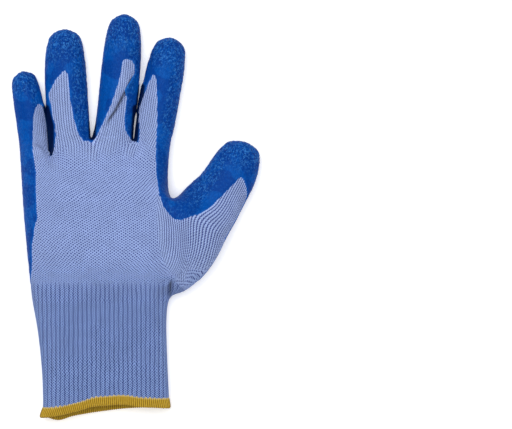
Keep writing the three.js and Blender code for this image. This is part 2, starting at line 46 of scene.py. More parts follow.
PALM_HEIGHT = 25
HEM_LENGTH = 6.6
SOLE_FLAT = 0.35
# The middle of the glove's outline, counted like the sizes from the middle of the cuff's mouth
CENTRE = (19.2544, 122.3179, 0)
# A millimetre in the scene's metres
MM = 0.001

# Length, width and height of each digit, its lean and its bend in degrees
DIGITS = {
    "little": (51, 19.2, 14, -5, -8),
    "ring": (73, 27, 16, -6, 6),
    "middle": (79, 25, 16, 8, -5),
    "index": (66.5, 25, 16, 9.5, 2.5),
    "thumb": (57.5, 34, 18, 44, -26),
}

# Sections of the cuff: along, left edge, right edge and height. The second lies where the hem ends.
CUFF_ROWS = [
    (0, -0.53, 0.525, 0.86),
    (0, -0.5, 0.512, 0.88),
    (0.52, -0.52, 0.494, 0.94),
    (0.95, -0.577, 0.504, 1.08),
]
# The mouth's edge: across, on the back and on the palm, a little finer than in the solids
MOUTH_EDGE = np.array([
    (0, -0.06, -0.065),
    (0.1, -0.052, -0.093),
    (0.25, -0.018, -0.052),
    (0.4, 0.028, -0.025),
    (0.65, 0.052, 0.01),
    (0.82, 0.024, 0.018),
    (1, 0.02, 0.015),
])
# Sections of the hand: corners from the little finger's side to the thumb's, height and spread of the columns
PALM_ROWS = [
    ([(-0.516, 0.09), (0.455, 0.13), (0.55, 0.035)], 0.86, 0.1),
    ([(-0.538, 0.3), (0.495, 0.37), (0.73, 0.19)], 1.0, 0.35),
    ([(-0.566, 0.6), (0.461, 0.6), (0.83, 0.362)], 0.98, 0.7),
    ([(-0.577, 0.77), (0.434, 0.79)], 0.88, 0.9),
    ([(-0.59, 0.93), (0.452, 0.98)], 0.72, 1),
]
# Crotches between fingers: across and up
CROTCHES = [(0.197, 0.925), (0.478, 1.015), (0.755, 1.0)]
THUMB_CROTCH = (0.461, 0.628)
CROTCH_BACKSET = 0.035

# Sections along a digit: along, width and height
FINGER_ROWS = [(0.13, 0.985, 1.0), (0.42, 1.0, 1.0), (0.74, 0.94, 0.96), (0.93, 0.72, 0.78)]
THUMB_ROWS = [(0.2, 1.12, 1.05), (0.45, 0.98, 1.0), (0.7, 0.9, 0.95), (0.92, 0.66, 0.78)]

# Shares of a section's height: its edges, how far its shoulders are drawn in and how high they lie, and the
# furrows between the fingers' roots
EDGE_RISE = 0.44
SHOULDER_INSET = 0.3
SHOULDER_TOP = 0.85
SHOULDER_BOTTOM = 0.1
FURROW_TOP = 0.8
FURROW_BOTTOM = 0.12

# Folds: start, end, width, depth and how much sharper the thumb's side is
BACK_FOLDS = [
    ((0.0, 1.1), (0.185, 1.4), 0.2, 0.09, 0.6),
    ((-0.13, 1.0), (-0.22, 1.28), 0.2, -0.07, 0),
    ((-0.38, -0.6), (-0.42, -0.08), 0.2, -0.07, 0),
    ((0.42, 0.12), (0.435, -0.02), 0.2, -0.2, 0),
    ((-0.34, 0.04), (-0.46, 0.2), 0.34, -0.09, 0),
]
PALM_FOLDS = [
    ((0.38, 0.1), (-0.02, 0.16), 0.18, 0.06, 0),
    ((0.5, 0.25), (0.36, 0.46), 0.2, 0.07, 0),
    ((-0.4, 0.72), (0.1, 0.78), 0.2, 0.05, 0),
]

# Where the knit shows on the hand: up, from and to
BACK_WINDOW = np.array([
    (0, -0.62, 0.8),
    (0.09, -0.54, 0.8),
    (0.17, -0.503, 1),
    (0.33, -0.5, 1.1),
    (0.46, -0.475, 1.2),
    (0.51, -0.457, 1.2),
    (0.56, -0.464, 1.2),
    (0.64, -0.468, 0.374),
    (0.83, -0.471, 0.356),
    (1, -0.485, 0.362),
])
# The coating's edge round the two crotches of the middle finger, in millimetres from the middle of the mouth.
# The sixth point of each ends the knit of both fingers.
RING_TO_MIDDLE = [
    (-19.7, 185.4), (-17.4, 177.1), (-15.8, 173.6), (-13.3, 170.8), (-10.1, 170.5),
    (-7.6, 169.2), (-6.3, 172.1), (-4.4, 175.9), (-2.5, 179.0), (0.0, 184.7),
]
MIDDLE_TO_INDEX = [
    (12.7, 180.9), (13.0, 177.8), (14.5, 174.6), (17.1, 171.1), (19.6, 170.2), (21.2, 169.2), (21.8, 172.1),
    (22.0, 177.8), (21.5, 182.8),
]
# Where the knit shows on the little, ring, middle and index finger
BARE = [np.array(outline) for outline in (
    [(-41.6, 194.2), (-43.3, 191.7), (-44.6, 187.2), (-45.0, 177.8), (-45.5, 168.3), (-44.6, 160.0),
     (-43.5, 152.5), (-28.5, 152.5), (-34.2, 160.0), (-34.9, 162.6), (-34.8, 168.3), (-35.6, 177.8),
     (-37.1, 185.7), (-39.2, 191.7), (-40.5, 193.9)],
    [(-25.0, 214.8), (-26.6, 214.1), (-31.0, 209.4), (-34.8, 202.4), (-36.1, 199.9), (-34.2, 193.6),
     (-33.2, 187.2), (-31.6, 180.9), (-31.1, 174.6), (-31.9, 167.0), (-34.2, 160.7), (-38.0, 152.5),
     (-6.3, 152.5), *RING_TO_MIDDLE[5::-1], (-21.5, 193.6), (-22.5, 201.5), (-22.9, 207.8), (-23.7, 213.2)],
    [(14.5, 222.3), (12.4, 221.7), (11.1, 219.5), (10.1, 211.0), (6.3, 199.9), (3.8, 192.9), (1.9, 188.5),
     *RING_TO_MIDDLE[:4:-1], (-8.2, 152.5), (22.1, 152.5), *MIDDLE_TO_INDEX[5::-1], (13.0, 189.1),
     (13.6, 196.7), (13.3, 203.1), (15.8, 207.5), (19.0, 213.2), (19.0, 218.2), (17.1, 221.1)],
    [(30.0, 212.2), (26.9, 206.2), (23.7, 198.3), (21.2, 191.7), (21.1, 187.9), *MIDDLE_TO_INDEX[:4:-1],
     (19.0, 152.5), (32.9, 152.5), (32.8, 177.8), (32.9, 193.6), (32.5, 203.1), (32.1, 209.4),
     (31.0, 211.9)],
)]
# Where it shows on the thumb: along, from and to, and how far behind the thumb's root that starts
THUMB_TONGUE = np.array([(0, 0, 1.3), (0.72, 0, 1.3), (0.8, 0.86, 0.86)])
TONGUE_ROOT = -0.1
# Outlines of the coating on the back, round the crotches
COATED = [np.array(outline) for outline in (
    [(-36.1, 180.9), (-35.6, 177.8), (-34.8, 168.3), (-34.9, 162.6), (-34.5, 160.0), (-33.5, 161.9),
     (-31.9, 167.0), (-31.1, 174.6), (-31.6, 180.9)],
    [(-19.9, 189.1), *RING_TO_MIDDLE, (1.3, 187.2)],
    [(12.8, 187.2), *MIDDLE_TO_INDEX, (21.1, 187.2)],
    [(32.3, 171), (32.3, 158.8), (32.9, 149.3), (33.8, 141.7), (35.4, 134.7), (36.7, 129.7), (39.2, 125.9),
     (41.8, 122.7), (44.9, 120.8), (48.7, 120.5), (52.5, 122.1), (58.8, 124), (63.9, 126.5), (68.3, 129.7),
     (74, 135.4), (79.7, 141.1), (83.5, 144.9), (86, 147.4), (87.6, 146.1), (89.2, 141.7), (89.8, 136.6),
     (89.2, 130.9), (85.4, 122.7), (80.3, 114.5), (76.5, 108.8), (90, 108), (112, 133), (112, 184),
     (33, 184)],
)]
# Where the coating starts on the palm side: across and up
PALM_LINE = np.array([
    (-0.495, -0.114), (-0.34, -0.155), (0, -0.158), (0.21, -0.116), (0.337, -0.045), (0.45, 0),
])
# Farther than this from the coating's edge, in millimetres, its outlines on palm and back aren't told apart
EDGE_BAND = 3

# The cage: columns to a finger, the thumb's first column and the last one, how often the surface is fitted to
# the sections, and how often it is refined
DIGIT_COLUMNS = 2
THUMB_COLUMN = 8
LAST_COLUMN = 10
FIT_PASSES = 30
FINENESS = 4

# Wales in each column of the hand, of a finger and of the thumb, and in each of the thumb's columns where the
# hand's second and third section lie
HAND_WALES = 6.5
FINGER_WALES = 5.25
THUMB_WALES = 7.5
THUMB_SIDE_WALES = (6, 9)
# The width of a rib, how many ribs run up each edge of the cuff, and a course's length on hand and cuff
RIB_PITCH = 2.85
EDGE_RIBS = 7
COURSE = 1.45
RIB_COURSE = 1.7

# Where the knit is spread on the hand: the share of the wales that shows, and the length of a course
SPREAD_WALES = 0.68
SPREAD_COURSE = 1.62
# Stitch counts are evened out in so many passes, by these shares on the back and on the thumb's side, from
# this height up and this far across, each with how far it takes to set in
RELAX_PASSES = 120
RELAX_BACK = 0.6
RELAX_THUMB = 0.8
RELAXED_FROM = 86
RELAXED_UP = (RELAXED_FROM, 10)
RELAXED_ACROSS = (34, 8)
# Round the wrist straight ribs end over this height
RIBS_END_UP = (RELAXED_FROM, 14)
# The yarn's colour turns from the cuff's to the hand's over this length, round the wrist
TONE_START = 53
TONE_LENGTH = 60
# The tone at which the ribs sink into the hand, and how far that takes
RIBS_SINK = (0.34, 0.16)
# Where the thumb's drawn knit sets in: along the thumb and across the hand, but not on the ball, which ends
# at this height and starts this far across
THUMB_DRAWN_ALONG = (-0.85, 0.5)
THUMB_DRAWN_ACROSS = (30, 12)
BALL_TOP = (84, 10)
BALL_SIDE = (50, 6)
# How strongly the fingers' knit is drawn, how far behind their roots that starts, how uneven that line is,
# and how far it takes to set in
FINGER_DRAWN = 0.45
DRAWN_BEHIND = 0.28
DRAWN_UNEVEN = 0.12
DRAWN_OVER = 0.4

# How deep each layer lies under the outermost surface, and how far the knit runs on under the coating
KNIT_DEPTH = 0.6
LINER_INSIDE = 2.5
KNIT_MARGIN = 2.4
# Relief: a rib and how far it is let in, a wale on the digits, a sharp crease, the coating's folds and finer
# crinkle, and how far the coating draws in where fingers touch
RIB_RELIEF = 0.42
RIB_SINK = 0.22
WALE_RELIEF = 0.34
CREASE_DEPTH = 0.9
FOLD_RELIEF = 0.25
CRINKLE_RELIEF = 0.12
TOUCH_DEPTH = 0.8
# How fine each mesh is: steps across one quad of the cage, and a step's length up the glove
CUFF_MESH = (16, 0.45)
BACK_MESH = (26, 0.7)
COATING_MESH = (16, 0.68)
LINER_MESH = (4, 2.5)

# Sharp creases in the knit: their points on the back, and half their width. Like the lines below, they are
# given in millimetres from the middle of the mouth.
# The creases are sunk into the knit and also darkened with painted shade.
CREASES = [
    ([(19.3, 214.2), (13.9, 201.8), (7.0, 189.2), (2.5, 183.5), (0.3, 178.7)], 0.8),
    ([(41.6, 83.5), (41.2, 76), (40.9, 68.9)], 0.8),
]
# Where fingers touch: both ends of each line between them
TOUCHING = [
    ((-38.9, 192.3), (-34.8, 163.2)),
    ((23.1, 205.0), (20.9, 189.8)),
]
# Where the gaps between fingers are deepest, darkened on the coating with painted shade
SHADED_GAPS = [
    ((-37.6, 191.7), (-34.6, 180.3)),
    ((-34.6, 180.3), (-34.5, 163.8)),
    ((23.1, 205.0), (20.9, 189.8)),
    ((19.6, 191.7), (18.7, 172.1)),
    ((-8.2, 182.8), (-7.9, 173.3)),
]

# The hem's thread: strands side by side round the mouth, points along each of the mouth's quads, how far a
# strand stands proud, and how far a loop of the needle's row reaches up
HEM_STRANDS = 136
HEM_SAMPLES = 54
STRAND_PROUD = 0.42
LOOP_REACH = 0.75
# A strand's way round the cuff's edge: along the hem from the mouth, depth under the surface, how much of it
# stands proud, and how much of it is the needle's row
HEM_PATH = [
    (0.98, 1.0, 0, 0.6), (1.0, 0.5, 0.5, 1), (0.94, 0.2, 1, 0.8), (0.84, 0.1, 1, 0), (0.6, 0.05, 1, 0),
    (0.35, 0.08, 1, 0), (0.18, 0.2, 1, 0), (0.07, 0.55, 1, 0), (0.02, 1.1, 1, 0), (0.02, 1.9, 1, 0),
    (0.07, 2.6, 1, 0), (0.18, 3.05, 1, 0), (0.35, 3.25, 1, 0), (0.6, 3.25, 0.8, 0), (0.72, 3.0, 0.4, 0),
    (0.74, 2.6, 0, 0), (0.6, 2.45, 0, 0), (0.22, 2.4, 0, 0), (0.18, 1.7, 0, 0), (0.22, 1.0, 0, 0),
    (0.6, 1.0, 0, 0),
]

# Colours as they are seen, from 0 to 255: the yarn, and the painted shade in the gaps between its loops
CUFF_YARN = (124, 148, 199)
HAND_YARN = (142, 162, 211)
DIGIT_YARN = (154, 174, 220)
CUFF_GAP_SHADE = (22, 42, 108)
HAND_GAP_SHADE = (16, 34, 116)
# The coating: crinkled, lighter patches of painted highlight, painted shade in a crease, painted highlight on
# a ridge, soaked into yarn, and painted shade deep between fingers
LATEX = (0, 62, 146)
LATEX_HIGHLIGHT_PATCH = (0, 79, 166)
LATEX_CREASE_SHADE = (0, 36, 104)
LATEX_HIGHLIGHT = (66, 142, 216)
LATEX_SOAKED = (40, 116, 202)
LATEX_GAP_SHADE = (0, 10, 46)
# The hem: thread, painted shade between strands, faded thread and the needle's row
THREAD = (192, 156, 46)
THREAD_GAP_SHADE = (104, 76, 12)
THREAD_FADED = (214, 182, 84)
THREAD_PALE = (226, 206, 140)

# The floor: half its width and how far under the glove it lies, in metres, its paper, and the light all round
FLOOR_HALF = 3
FLOOR_DROP = 0.0004
PAPER = (0.93, 0.93, 0.93)
PAPER_GLOW = 0.3
WHITE = (1, 1, 1, 1)
ROOM_LIGHT = 0.46
# Lamps: name, place, width and watts
LAMPS = [
    ("window", (-0.55, 0.65, 1.35), 0.9, 8),
    ("overhead", (0.1, 0.1, 1.7), 1.5, 16.5),
]
# The camera looks straight down from this height at a field of this width, both over the level of the glove's
# outline, and stands over this middle
VIEW_HEIGHT = 2.4
VIEW_WIDTH = 0.3239
VIEW_LEVEL = 0.011
VIEW_MIDDLE = (0.07627, 0.00199)
SENSOR_WIDTH = 36

# Columns of a point of the smooth surface: its place, its side, its normal and its stitch
PLACE = slice(0, 3)
SIDE = 3
NORMAL = slice(4, 7)
WALE = 7
ROW = 8
CHANNELS = 9


def look_up(table, value, at):
    """A table's value between its rows, and past its ends along the last step."""
    keys, values = table[:, 0], table[:, value]
    after = np.clip(np.searchsorted(keys, at, side="right"), 1, len(keys) - 1)
    before = after - 1
    share = (at - keys[before]) / (keys[after] - keys[before])
    return values[before] + (values[after] - values[before]) * share


def mix(a, b, share):
    return a + (b - a) * share


def smooth(share):
    """0 up to 0, 1 from 1 on, and level at both ends."""
    share = np.clip(share, 0, 1)
    return share * share * (3 - 2 * share)


def ramp(value, start, over):
    """0 up to the start and 1 from that much over it on."""
    return smooth((value - start) / over)


def from_middle(count):
    """0 in the middle of each wale, course or strand, and 1 where two meet."""
    return abs(count % 1 - 0.5) * 2


def along_line(points, a, b):
    """How far along the line from a to b each point lies, and how far away from that stretch of it."""
    offset, reach = points[:, :2] - a, b - a
    along = offset @ reach / (reach @ reach)
    away = np.linalg.norm(offset - np.clip(along, 0, 1)[:, None] * reach, axis=1)
    return along, away


def hand_point(place):
    """A place on the hand, across and up, in millimetres from the middle of the mouth."""
    return np.array([place[0] * PALM_WIDTH, CUFF_LENGTH + place[1] * PALM_LENGTH])


def section_ring(columns, left, right, height, palm_y=None):
    """One section: the back's columns, the right edge, the palm's columns and the left edge."""
    back, palm = [], []
    for i, (x, y, shoulder) in enumerate(columns):
        back.append((x, y, height * (SHOULDER_TOP if shoulder else 1), 1))
        low = height * (SHOULDER_BOTTOM if shoulder else 0)
        palm.append((x, y if palm_y is None else palm_y[i], low, -1))
    edge = height * EDGE_RISE
    return [*back, (*right, edge, 0), *palm[::-1], (*left, edge, 0)]


def columns_along(corners, shares, height):
    """Columns along straight legs from corner to corner, with both ends drawn in for the shoulders."""
    def pull(p, q):
        return mix(p, q, SHOULDER_INSET * height / np.linalg.norm(q - p))
    ends = [pull(corners[0], corners[1]), *corners[1:-1], pull(corners[-1], corners[-2])]
    columns = []
    for i, share in enumerate(shares):
        leg = min(int(share), len(ends) - 2)
        x, y = mix(ends[leg], ends[leg + 1], share - leg)
        columns.append((x, y, i in (0, len(shares) - 1)))
    return columns


def cuff_ring(row):
    """One section of the cuff. Those at the mouth and the hem follow the mouth's edge."""
    at, left, right, height = CUFF_ROWS[row]
    y = at * CUFF_LENGTH + (HEM_LENGTH if row == 1 else 0)
    shares = np.linspace(0, 1, LAST_COLUMN + 1)
    edges = [np.array([side * CUFF_WIDTH, y]) for side in (left, right)]
    columns = columns_along(edges, shares, height * CUFF_HEIGHT)
    if row > 1:
        return section_ring(columns, edges[0], edges[1], height * CUFF_HEIGHT)
    back, palm = (look_up(MOUTH_EDGE, side, shares) * CUFF_LENGTH for side in (1, 2))
    moved = [(x, y + back[i], shoulder) for i, (x, y, shoulder) in enumerate(columns)]
    for edge, i in zip(edges, (0, -1)):
        edge[1] += back[i]
    return section_ring(moved, edges[0], edges[1], height * CUFF_HEIGHT, y + palm)


def palm_ring(row):
    """One section of the hand. In the last one furrows part the roots of the fingers."""
    places, height, spread = PALM_ROWS[row]
    corners = [hand_point(place) for place in places]
    fingers = [0, *(across for across, _ in CROTCHES), 1]
    shares = []
    for even in np.linspace(0, 1, THUMB_COLUMN + 1):
        finger = min(int(even * 4), 3)
        shares.append(mix(even, mix(fingers[finger], fingers[finger + 1], even * 4 - finger), spread))
    if len(corners) == 3:
        shares += [1.5, 2]
    height *= PALM_HEIGHT
    ring = section_ring(columns_along(corners, shares, height), corners[0], corners[-1], height)
    if row < len(PALM_ROWS) - 1:
        return ring
    for k, (_, up) in enumerate(CROTCHES):
        y = hand_point((0, up - CROTCH_BACKSET))[1]
        column = DIGIT_COLUMNS * (k + 1)
        for i, rise in ((column, FURROW_TOP), (len(ring) - 2 - column, FURROW_BOTTOM)):
            ring[i] = (ring[i][0], y, height * rise, ring[i][3])
    return ring


def digit_frame(digit, at):
    """A digit's section lies on an arc: its middle and the direction across it."""
    start, end = (math.radians(digit["lean"] + digit["bend"] * share) for share in (0, at))
    radius = digit["length"] / math.radians(digit["bend"])
    x = digit["root"][0] + radius * (math.cos(start) - math.cos(end))
    y = digit["root"][1] + radius * (math.sin(end) - math.sin(start))
    return np.array([x, y]), np.array([math.cos(end), -math.sin(end)])


def digit_ring(digit, section):
    at, width, height = section
    middle, across = digit_frame(digit, at)
    half = width * digit["width"] / 2
    edges = [middle - across * half, middle + across * half]
    height *= digit["height"]
    return section_ring(columns_along(edges, [0, 0.5, 1], height), edges[0], edges[1], height)


def place_on(digit, points):
    """Where points lie on a digit: the share of its length from its root, and the share of its width."""
    lean, bend = math.radians(digit["lean"]), math.radians(digit["bend"])
    radius = digit["length"] / bend
    turned = np.sign(radius)
    dx = points[:, 0] - digit["root"][0] - radius * math.cos(lean)
    dy = points[:, 1] - digit["root"][1] + radius * math.sin(lean)
    angle = np.arctan2(turned * dy, -turned * dx)
    offset = radius - turned * np.hypot(dx, dy)
    return (angle - lean) / bend, offset / digit["width"] + 0.5


def opposite(ring, column):
    """The point of the palm under a column of the back."""
    return ring[len(ring) - 2 - column]


def span(ring, first, last, left, right):
    """A ring through some of a ring's columns, closed by a point at each side."""
    palm = [opposite(ring, column) for column in range(last, first - 1, -1)]
    return [*ring[first:last + 1], right, *palm, left]


class Cage:
    """The control cage: points, and quads that know their piece, their row and their corners' stitches."""

    def __init__(self):
        self.points, self.quads, self.owners, self.rows, self.stitches = [], [], [], [], []
        self.row_count = 0
        self.courses = {}

    def add(self, ring):
        self.points += ring
        return list(range(len(self.points) - len(ring), len(self.points)))

    def web(self, place, ring, column):
        """A point halfway between back and palm."""
        height = (self.points[ring[column]][2] + self.points[opposite(ring, column)][2]) / 2
        return self.add([(*place, height, 0)])[0]

    def count_along_thumb(self, hand):
        """The thumb's courses cross its length, so on its side of the hand they are counted along it."""
        seam = np.array(self.points[hand[2][THUMB_COLUMN]][:2])
        lean = math.radians(DIGITS["thumb"][3])
        along = np.array([math.sin(lean), math.cos(lean)])
        for ring in hand[:3]:
            for i in ring[THUMB_COLUMN + 1:LAST_COLUMN * 2 + 2 - THUMB_COLUMN]:
                self.courses[i] = seam[1] + (np.array(self.points[i][:2]) - seam) @ along

    def counted(self, ring):
        """Each point's course: its height, except on the thumb's side."""
        return [self.courses.get(i, self.points[i][1]) for i in ring]

    def close(self, owner, quad, stitches):
        self.quads.append(quad)
        self.owners.append(owner)
        self.rows.append(self.row_count)
        self.stitches.append(stitches)

    def join(self, owner, low, high, low_wales, high_wales, low_courses, high_courses):
        count = len(low)
        for i in range(count):
            j = (i + 1) % count
            (a, b), (d, c) = low_wales[i], high_wales[i]
            stitches = [(a, low_courses[i]), (b, low_courses[j]), (c, high_courses[j]), (d, high_courses[i])]
            self.close(owner, [low[i], low[j], high[j], high[i]], stitches)
        self.row_count += 1


def numbered(starts, around):
    """Wales at both ends of each side of a ring. The count starts again at the seam, on the palm side."""
    ends = [*starts[1:], starts[0] + around]
    seam = len(starts) * 3 // 4
    turns = [0 if i < seam else around for i in range(len(starts))]
    return [(a - turn, b - turn) for a, b, turn in zip(starts, ends, turns)]


def stepped(first, steps):
    """Wales of a ring, counted on from the first with so many to each side."""
    starts = first + np.concatenate([[0], np.cumsum(steps)[:-1]])
    return numbered(list(starts), sum(steps))


def whole_ring_wales(steps):
    """Wales of a ring round the hand, counted from the middle of its back."""
    return stepped(-HAND_WALES * THUMB_COLUMN / 2, steps)


def straight_ribs(ring, middle):
    """Ribs of a ring that run straight up the cuff, a whole number of them round it."""
    back = [(point[0] - middle) / RIB_PITCH for point in ring[:LAST_COLUMN + 1]]
    turn = round(2 * back[-1] + EDGE_RIBS)
    around = round(turn - 2 * back[0] + EDGE_RIBS)
    palm = [turn - rib for rib in back[::-1]]
    return numbered([*back, (back[-1] + palm[0]) / 2, *palm, (palm[-1] + back[0] + around) / 2], around)


def hand_wales(thumb):
    """Wales of a section of the hand with the thumb's columns, and so many wales in each of these."""
    back = [HAND_WALES] * THUMB_COLUMN + [thumb] * (LAST_COLUMN - THUMB_COLUMN)
    return whole_ring_wales([*back, HAND_WALES, HAND_WALES, *back[::-1], HAND_WALES, HAND_WALES])


def digit_wales(middle, each):
    """Wales of a digit's ring, counted from the middle of its back."""
    return numbered([middle + each * (i - 1) for i in range(8)], 8 * each)


def root_wales(middle, back, each):
    """Wales of a digit's root: as many to each column as the hand has, and its own towards its web."""
    return stepped(middle - back, [back, back, HAND_WALES, HAND_WALES, back, back, each, each])


def join_cuff(cage, cuff, wrist):
    """Joins the cuff's rings up to the wrist. Gives the ribs at the wrist."""
    rings = [*cuff, wrist]
    middle = cage.points[wrist[THUMB_COLUMN // 2]][0]
    ribs = [straight_ribs([cage.points[i] for i in ring], middle) for ring in rings]
    heights = [[cage.points[i][1] for i in ring] for ring in rings]
    for k in range(len(cuff)):
        cage.join("cuff", rings[k], rings[k + 1], ribs[k], ribs[k + 1], heights[k], heights[k + 1])
    return ribs[-1]


def join_hand(cage, hand, wrist_ribs, thumb_web):
    """Joins the hand's rings: with the thumb's columns up to its root, and without them from there on."""
    # Each rib goes on into the hand as two wales.
    wrist_wales = [(2 * first, 2 * second) for first, second in wrist_ribs]
    fingers_ring = span(hand[2], 0, THUMB_COLUMN, hand[2][-1], thumb_web)
    finger_wales = whole_ring_wales([HAND_WALES] * len(fingers_ring))
    second, third = (hand_wales(thumb) for thumb in THUMB_SIDE_WALES)
    for low, high, low_wales, high_wales in (
        (hand[0], hand[1], wrist_wales, second),
        (hand[1], hand[2], second, third),
        (fingers_ring, hand[3], finger_wales, finger_wales),
        (hand[3], hand[4], finger_wales, finger_wales),
    ):
        cage.join("hand", low, high, low_wales, high_wales, cage.counted(low), cage.counted(high))


def finger_edges(cage, top):
    """The points between which the fingers start: both edges of the hand's top and a web in each crotch."""
    left, right = top[-1], top[THUMB_COLUMN + 1]
    webs = []
    for k, (across, up) in enumerate(CROTCHES):
        place = (mix(cage.points[left][0], cage.points[right][0], across), hand_point((0, up))[1])
        webs.append(cage.web(place, top, DIGIT_COLUMNS * (k + 1)))
    return [left, *webs, right]


def join_digit(cage, name, ring, middle, back, each):
    """Joins a digit on to the ring at its root. middle is the wale on its middle line, back the wales to a
    column of the hand there, and each those to a column of its own."""
    length, width, height, lean, bend = DIGITS[name]
    sides = [cage.points[i] for i in (ring[-1], ring[DIGIT_COLUMNS + 1])]
    root = [(sides[0][axis] + sides[1][axis]) / 2 for axis in (0, 1)]
    digit = dict(name=name, root=root, length=length, width=width, height=height, lean=lean, bend=bend)
    wales, own, count = root_wales(middle, back, each), digit_wales(middle, each), cage.counted(ring)
    start = count[1]
    for section in THUMB_ROWS if name == "thumb" else FINGER_ROWS:
        following = cage.add(digit_ring(digit, section))
        reached = [start + section[0] * length] * len(ring)
        cage.join(name, ring, following, wales, own, count, reached)
        ring, wales, count = following, own, reached
    end, _ = digit_frame(digit, 1)
    tip = cage.add([(*end, height * EDGE_RISE, 0)])[0]
    for i in range(0, 8, 2):
        (a, b), c = own[i], own[(i + 1) % 8][1]
        stitches = [(a, count[0]), (b, count[0]), (c, count[0]), (b, start + length)]
        cage.close(name, [ring[i], ring[i + 1], ring[(i + 2) % 8], tip], stitches)
    cage.row_count += 1
    return digit


def build_cage():
    """The whole glove's cage, and its digits with the thumb last."""
    cage = Cage()
    cuff = [cage.add(cuff_ring(row)) for row in range(len(CUFF_ROWS))]
    hand = [cage.add(palm_ring(row)) for row in range(len(PALM_ROWS))]
    cage.count_along_thumb(hand)
    wrist_ribs = join_cuff(cage, cuff, hand[0])
    split, top = hand[2], hand[4]
    thumb_web = cage.web(hand_point(THUMB_CROTCH), split, THUMB_COLUMN)
    join_hand(cage, hand, wrist_ribs, thumb_web)
    edges = finger_edges(cage, top)
    *fingers, thumb = DIGITS
    digits = []
    for k, name in enumerate(fingers):
        ring = span(top, DIGIT_COLUMNS * k, DIGIT_COLUMNS * (k + 1), edges[k], edges[k + 1])
        middle = (2 * k + 1 - THUMB_COLUMN / 2) * HAND_WALES
        digits.append(join_digit(cage, name, ring, middle, HAND_WALES, FINGER_WALES))
    ring = span(split, THUMB_COLUMN, LAST_COLUMN, thumb_web, split[LAST_COLUMN + 1])
    back = THUMB_SIDE_WALES[-1]
    digits.append(join_digit(cage, thumb, ring, THUMB_COLUMN * HAND_WALES / 2 + back, back, THUMB_WALES))
    return cage, digits


def mesh_sums(points, quads):
    """A mesh's edges, which edge each side of each quad is, and how many quads each edge has."""
    count = len(points)
    ends = np.stack([quads, np.roll(quads, -1, axis=1)], -1).reshape(-1, 2)
    low, high = ends.min(1), ends.max(1)
    keys, inverse, uses = np.unique(low * count + high, return_inverse=True, return_counts=True)
    edges = np.stack([keys // count, keys % count], -1)
    return edges, inverse, uses


def gathered(count, ids, values):
    """The sum of the values that go to each id."""
    total = np.zeros((count, values.shape[1]))
    np.add.at(total, ids, values)
    return total


def neighbour_sums(points, edges):
    low, high = edges.T
    return gathered(len(points), low, points[high]) + gathered(len(points), high, points[low])


def open_rim(points, edges, uses):
    """Which points lie on the surface's open rim, and the sums of their neighbours there."""
    rim = edges[uses == 1]
    is_open = np.zeros(len(points), bool)
    is_open[rim.ravel()] = True
    return is_open[:, None], neighbour_sums(points, rim)


def limit_points(points, quads):
    """Where a smooth Catmull-Clark surface ends up at each point of its mesh."""
    edges, _, uses = mesh_sums(points, quads)
    count = len(points)
    far = gathered(count, quads.ravel(), points[np.roll(quads, 2, axis=1).ravel()])
    n = np.bincount(edges.ravel(), minlength=count)[:, None]
    reached = (n * n * points + 4 * neighbour_sums(points, edges) + far) / (n * (n + 5))
    is_open, rim_sums = open_rim(points, edges, uses)
    return np.where(is_open, (4 * points + rim_sums) / 6, reached)


def refine(points, quads):
    """One step of Catmull-Clark. quads is a grid of quads for each quad of the cage, and stays one."""
    flat = quads.reshape(-1, 4)
    edges, inverse, uses = mesh_sums(points, flat)
    count = len(points)
    faces = points[flat].mean(1)
    beside = gathered(len(edges), inverse, np.repeat(faces, 4, axis=0))
    middles = points[edges].mean(1)
    inner = (uses == 2)[:, None]
    edge_points = np.where(inner, (2 * middles + beside) / 4, middles)
    around = gathered(count, flat.ravel(), np.repeat(faces, 4, axis=0))
    n = np.bincount(edges.ravel(), minlength=count)[:, None]
    moved = (n - 2) / n * points + (neighbour_sums(points, edges) + around) / (n * n)
    is_open, rim_sums = open_rim(points, edges, uses)
    moved = np.where(is_open, 0.75 * points + 0.125 * rim_sums, moved)
    on_edge = (count + inverse).reshape(-1, 4)
    centre = (count + len(edges) + np.arange(len(flat)))[:, None]
    a, b, c, d = (flat[:, [i]] for i in range(4))
    ab, bc, cd, da = (on_edge[:, [i]] for i in range(4))
    children = np.stack([
        np.hstack([a, ab, centre, da]),
        np.hstack([ab, b, bc, centre]),
        np.hstack([centre, bc, c, cd]),
        np.hstack([da, centre, cd, d]),
    ], 1)
    size = quads.shape[1]
    children = children.reshape(-1, size, size, 4, 4)
    finer = np.empty((len(children), 2 * size, 2 * size, 4), int)
    for k, (up, across) in enumerate([(0, 0), (0, 1), (1, 1), (1, 0)]):
        finer[:, up::2, across::2] = children[:, :, :, k]
    return np.vstack([moved, edge_points, faces]), finer


def fold_lift(folds, points):
    """How far soft folds lift each point."""
    lift = np.zeros(len(points))
    for start, end, width, depth, step in folds:
        a, b = hand_point(start), hand_point(end)
        along, away = along_line(points, a, b)
        towards_thumb = (points[:, 0] - a[0]) * (b - a)[1] > (points[:, 1] - a[1]) * (b - a)[0]
        half = width * PALM_HEIGHT * np.where(towards_thumb, 1 - step, 1 + step)
        height = depth * PALM_HEIGHT * np.sin(np.pi * mix(0.12, 0.88, np.clip(along, 0, 1)))
        lift += height * np.exp(-(away / half) ** 2)
    return lift


def fitted(cage):
    """The smooth surface through the cage's points, with a grid of quads for each quad of the cage."""
    wanted, quads = np.array(cage.points, float), np.array(cage.quads)
    points = wanted
    for _ in range(FIT_PASSES):
        points = points + wanted - limit_points(points, quads)
    grid = quads[:, None, None, :]
    for _ in range(FINENESS):
        points, grid = refine(points, grid)
    return limit_points(points, grid.reshape(-1, 4)), grid


def normals_of(points, quads):
    a, b, c, d = (points[quads[:, i], :3] for i in range(4))
    facing = np.cross(c - a, d - b)
    normals = gathered(len(points), quads.ravel(), np.repeat(facing, 4, axis=0))
    return normals / np.linalg.norm(normals, axis=1)[:, None]


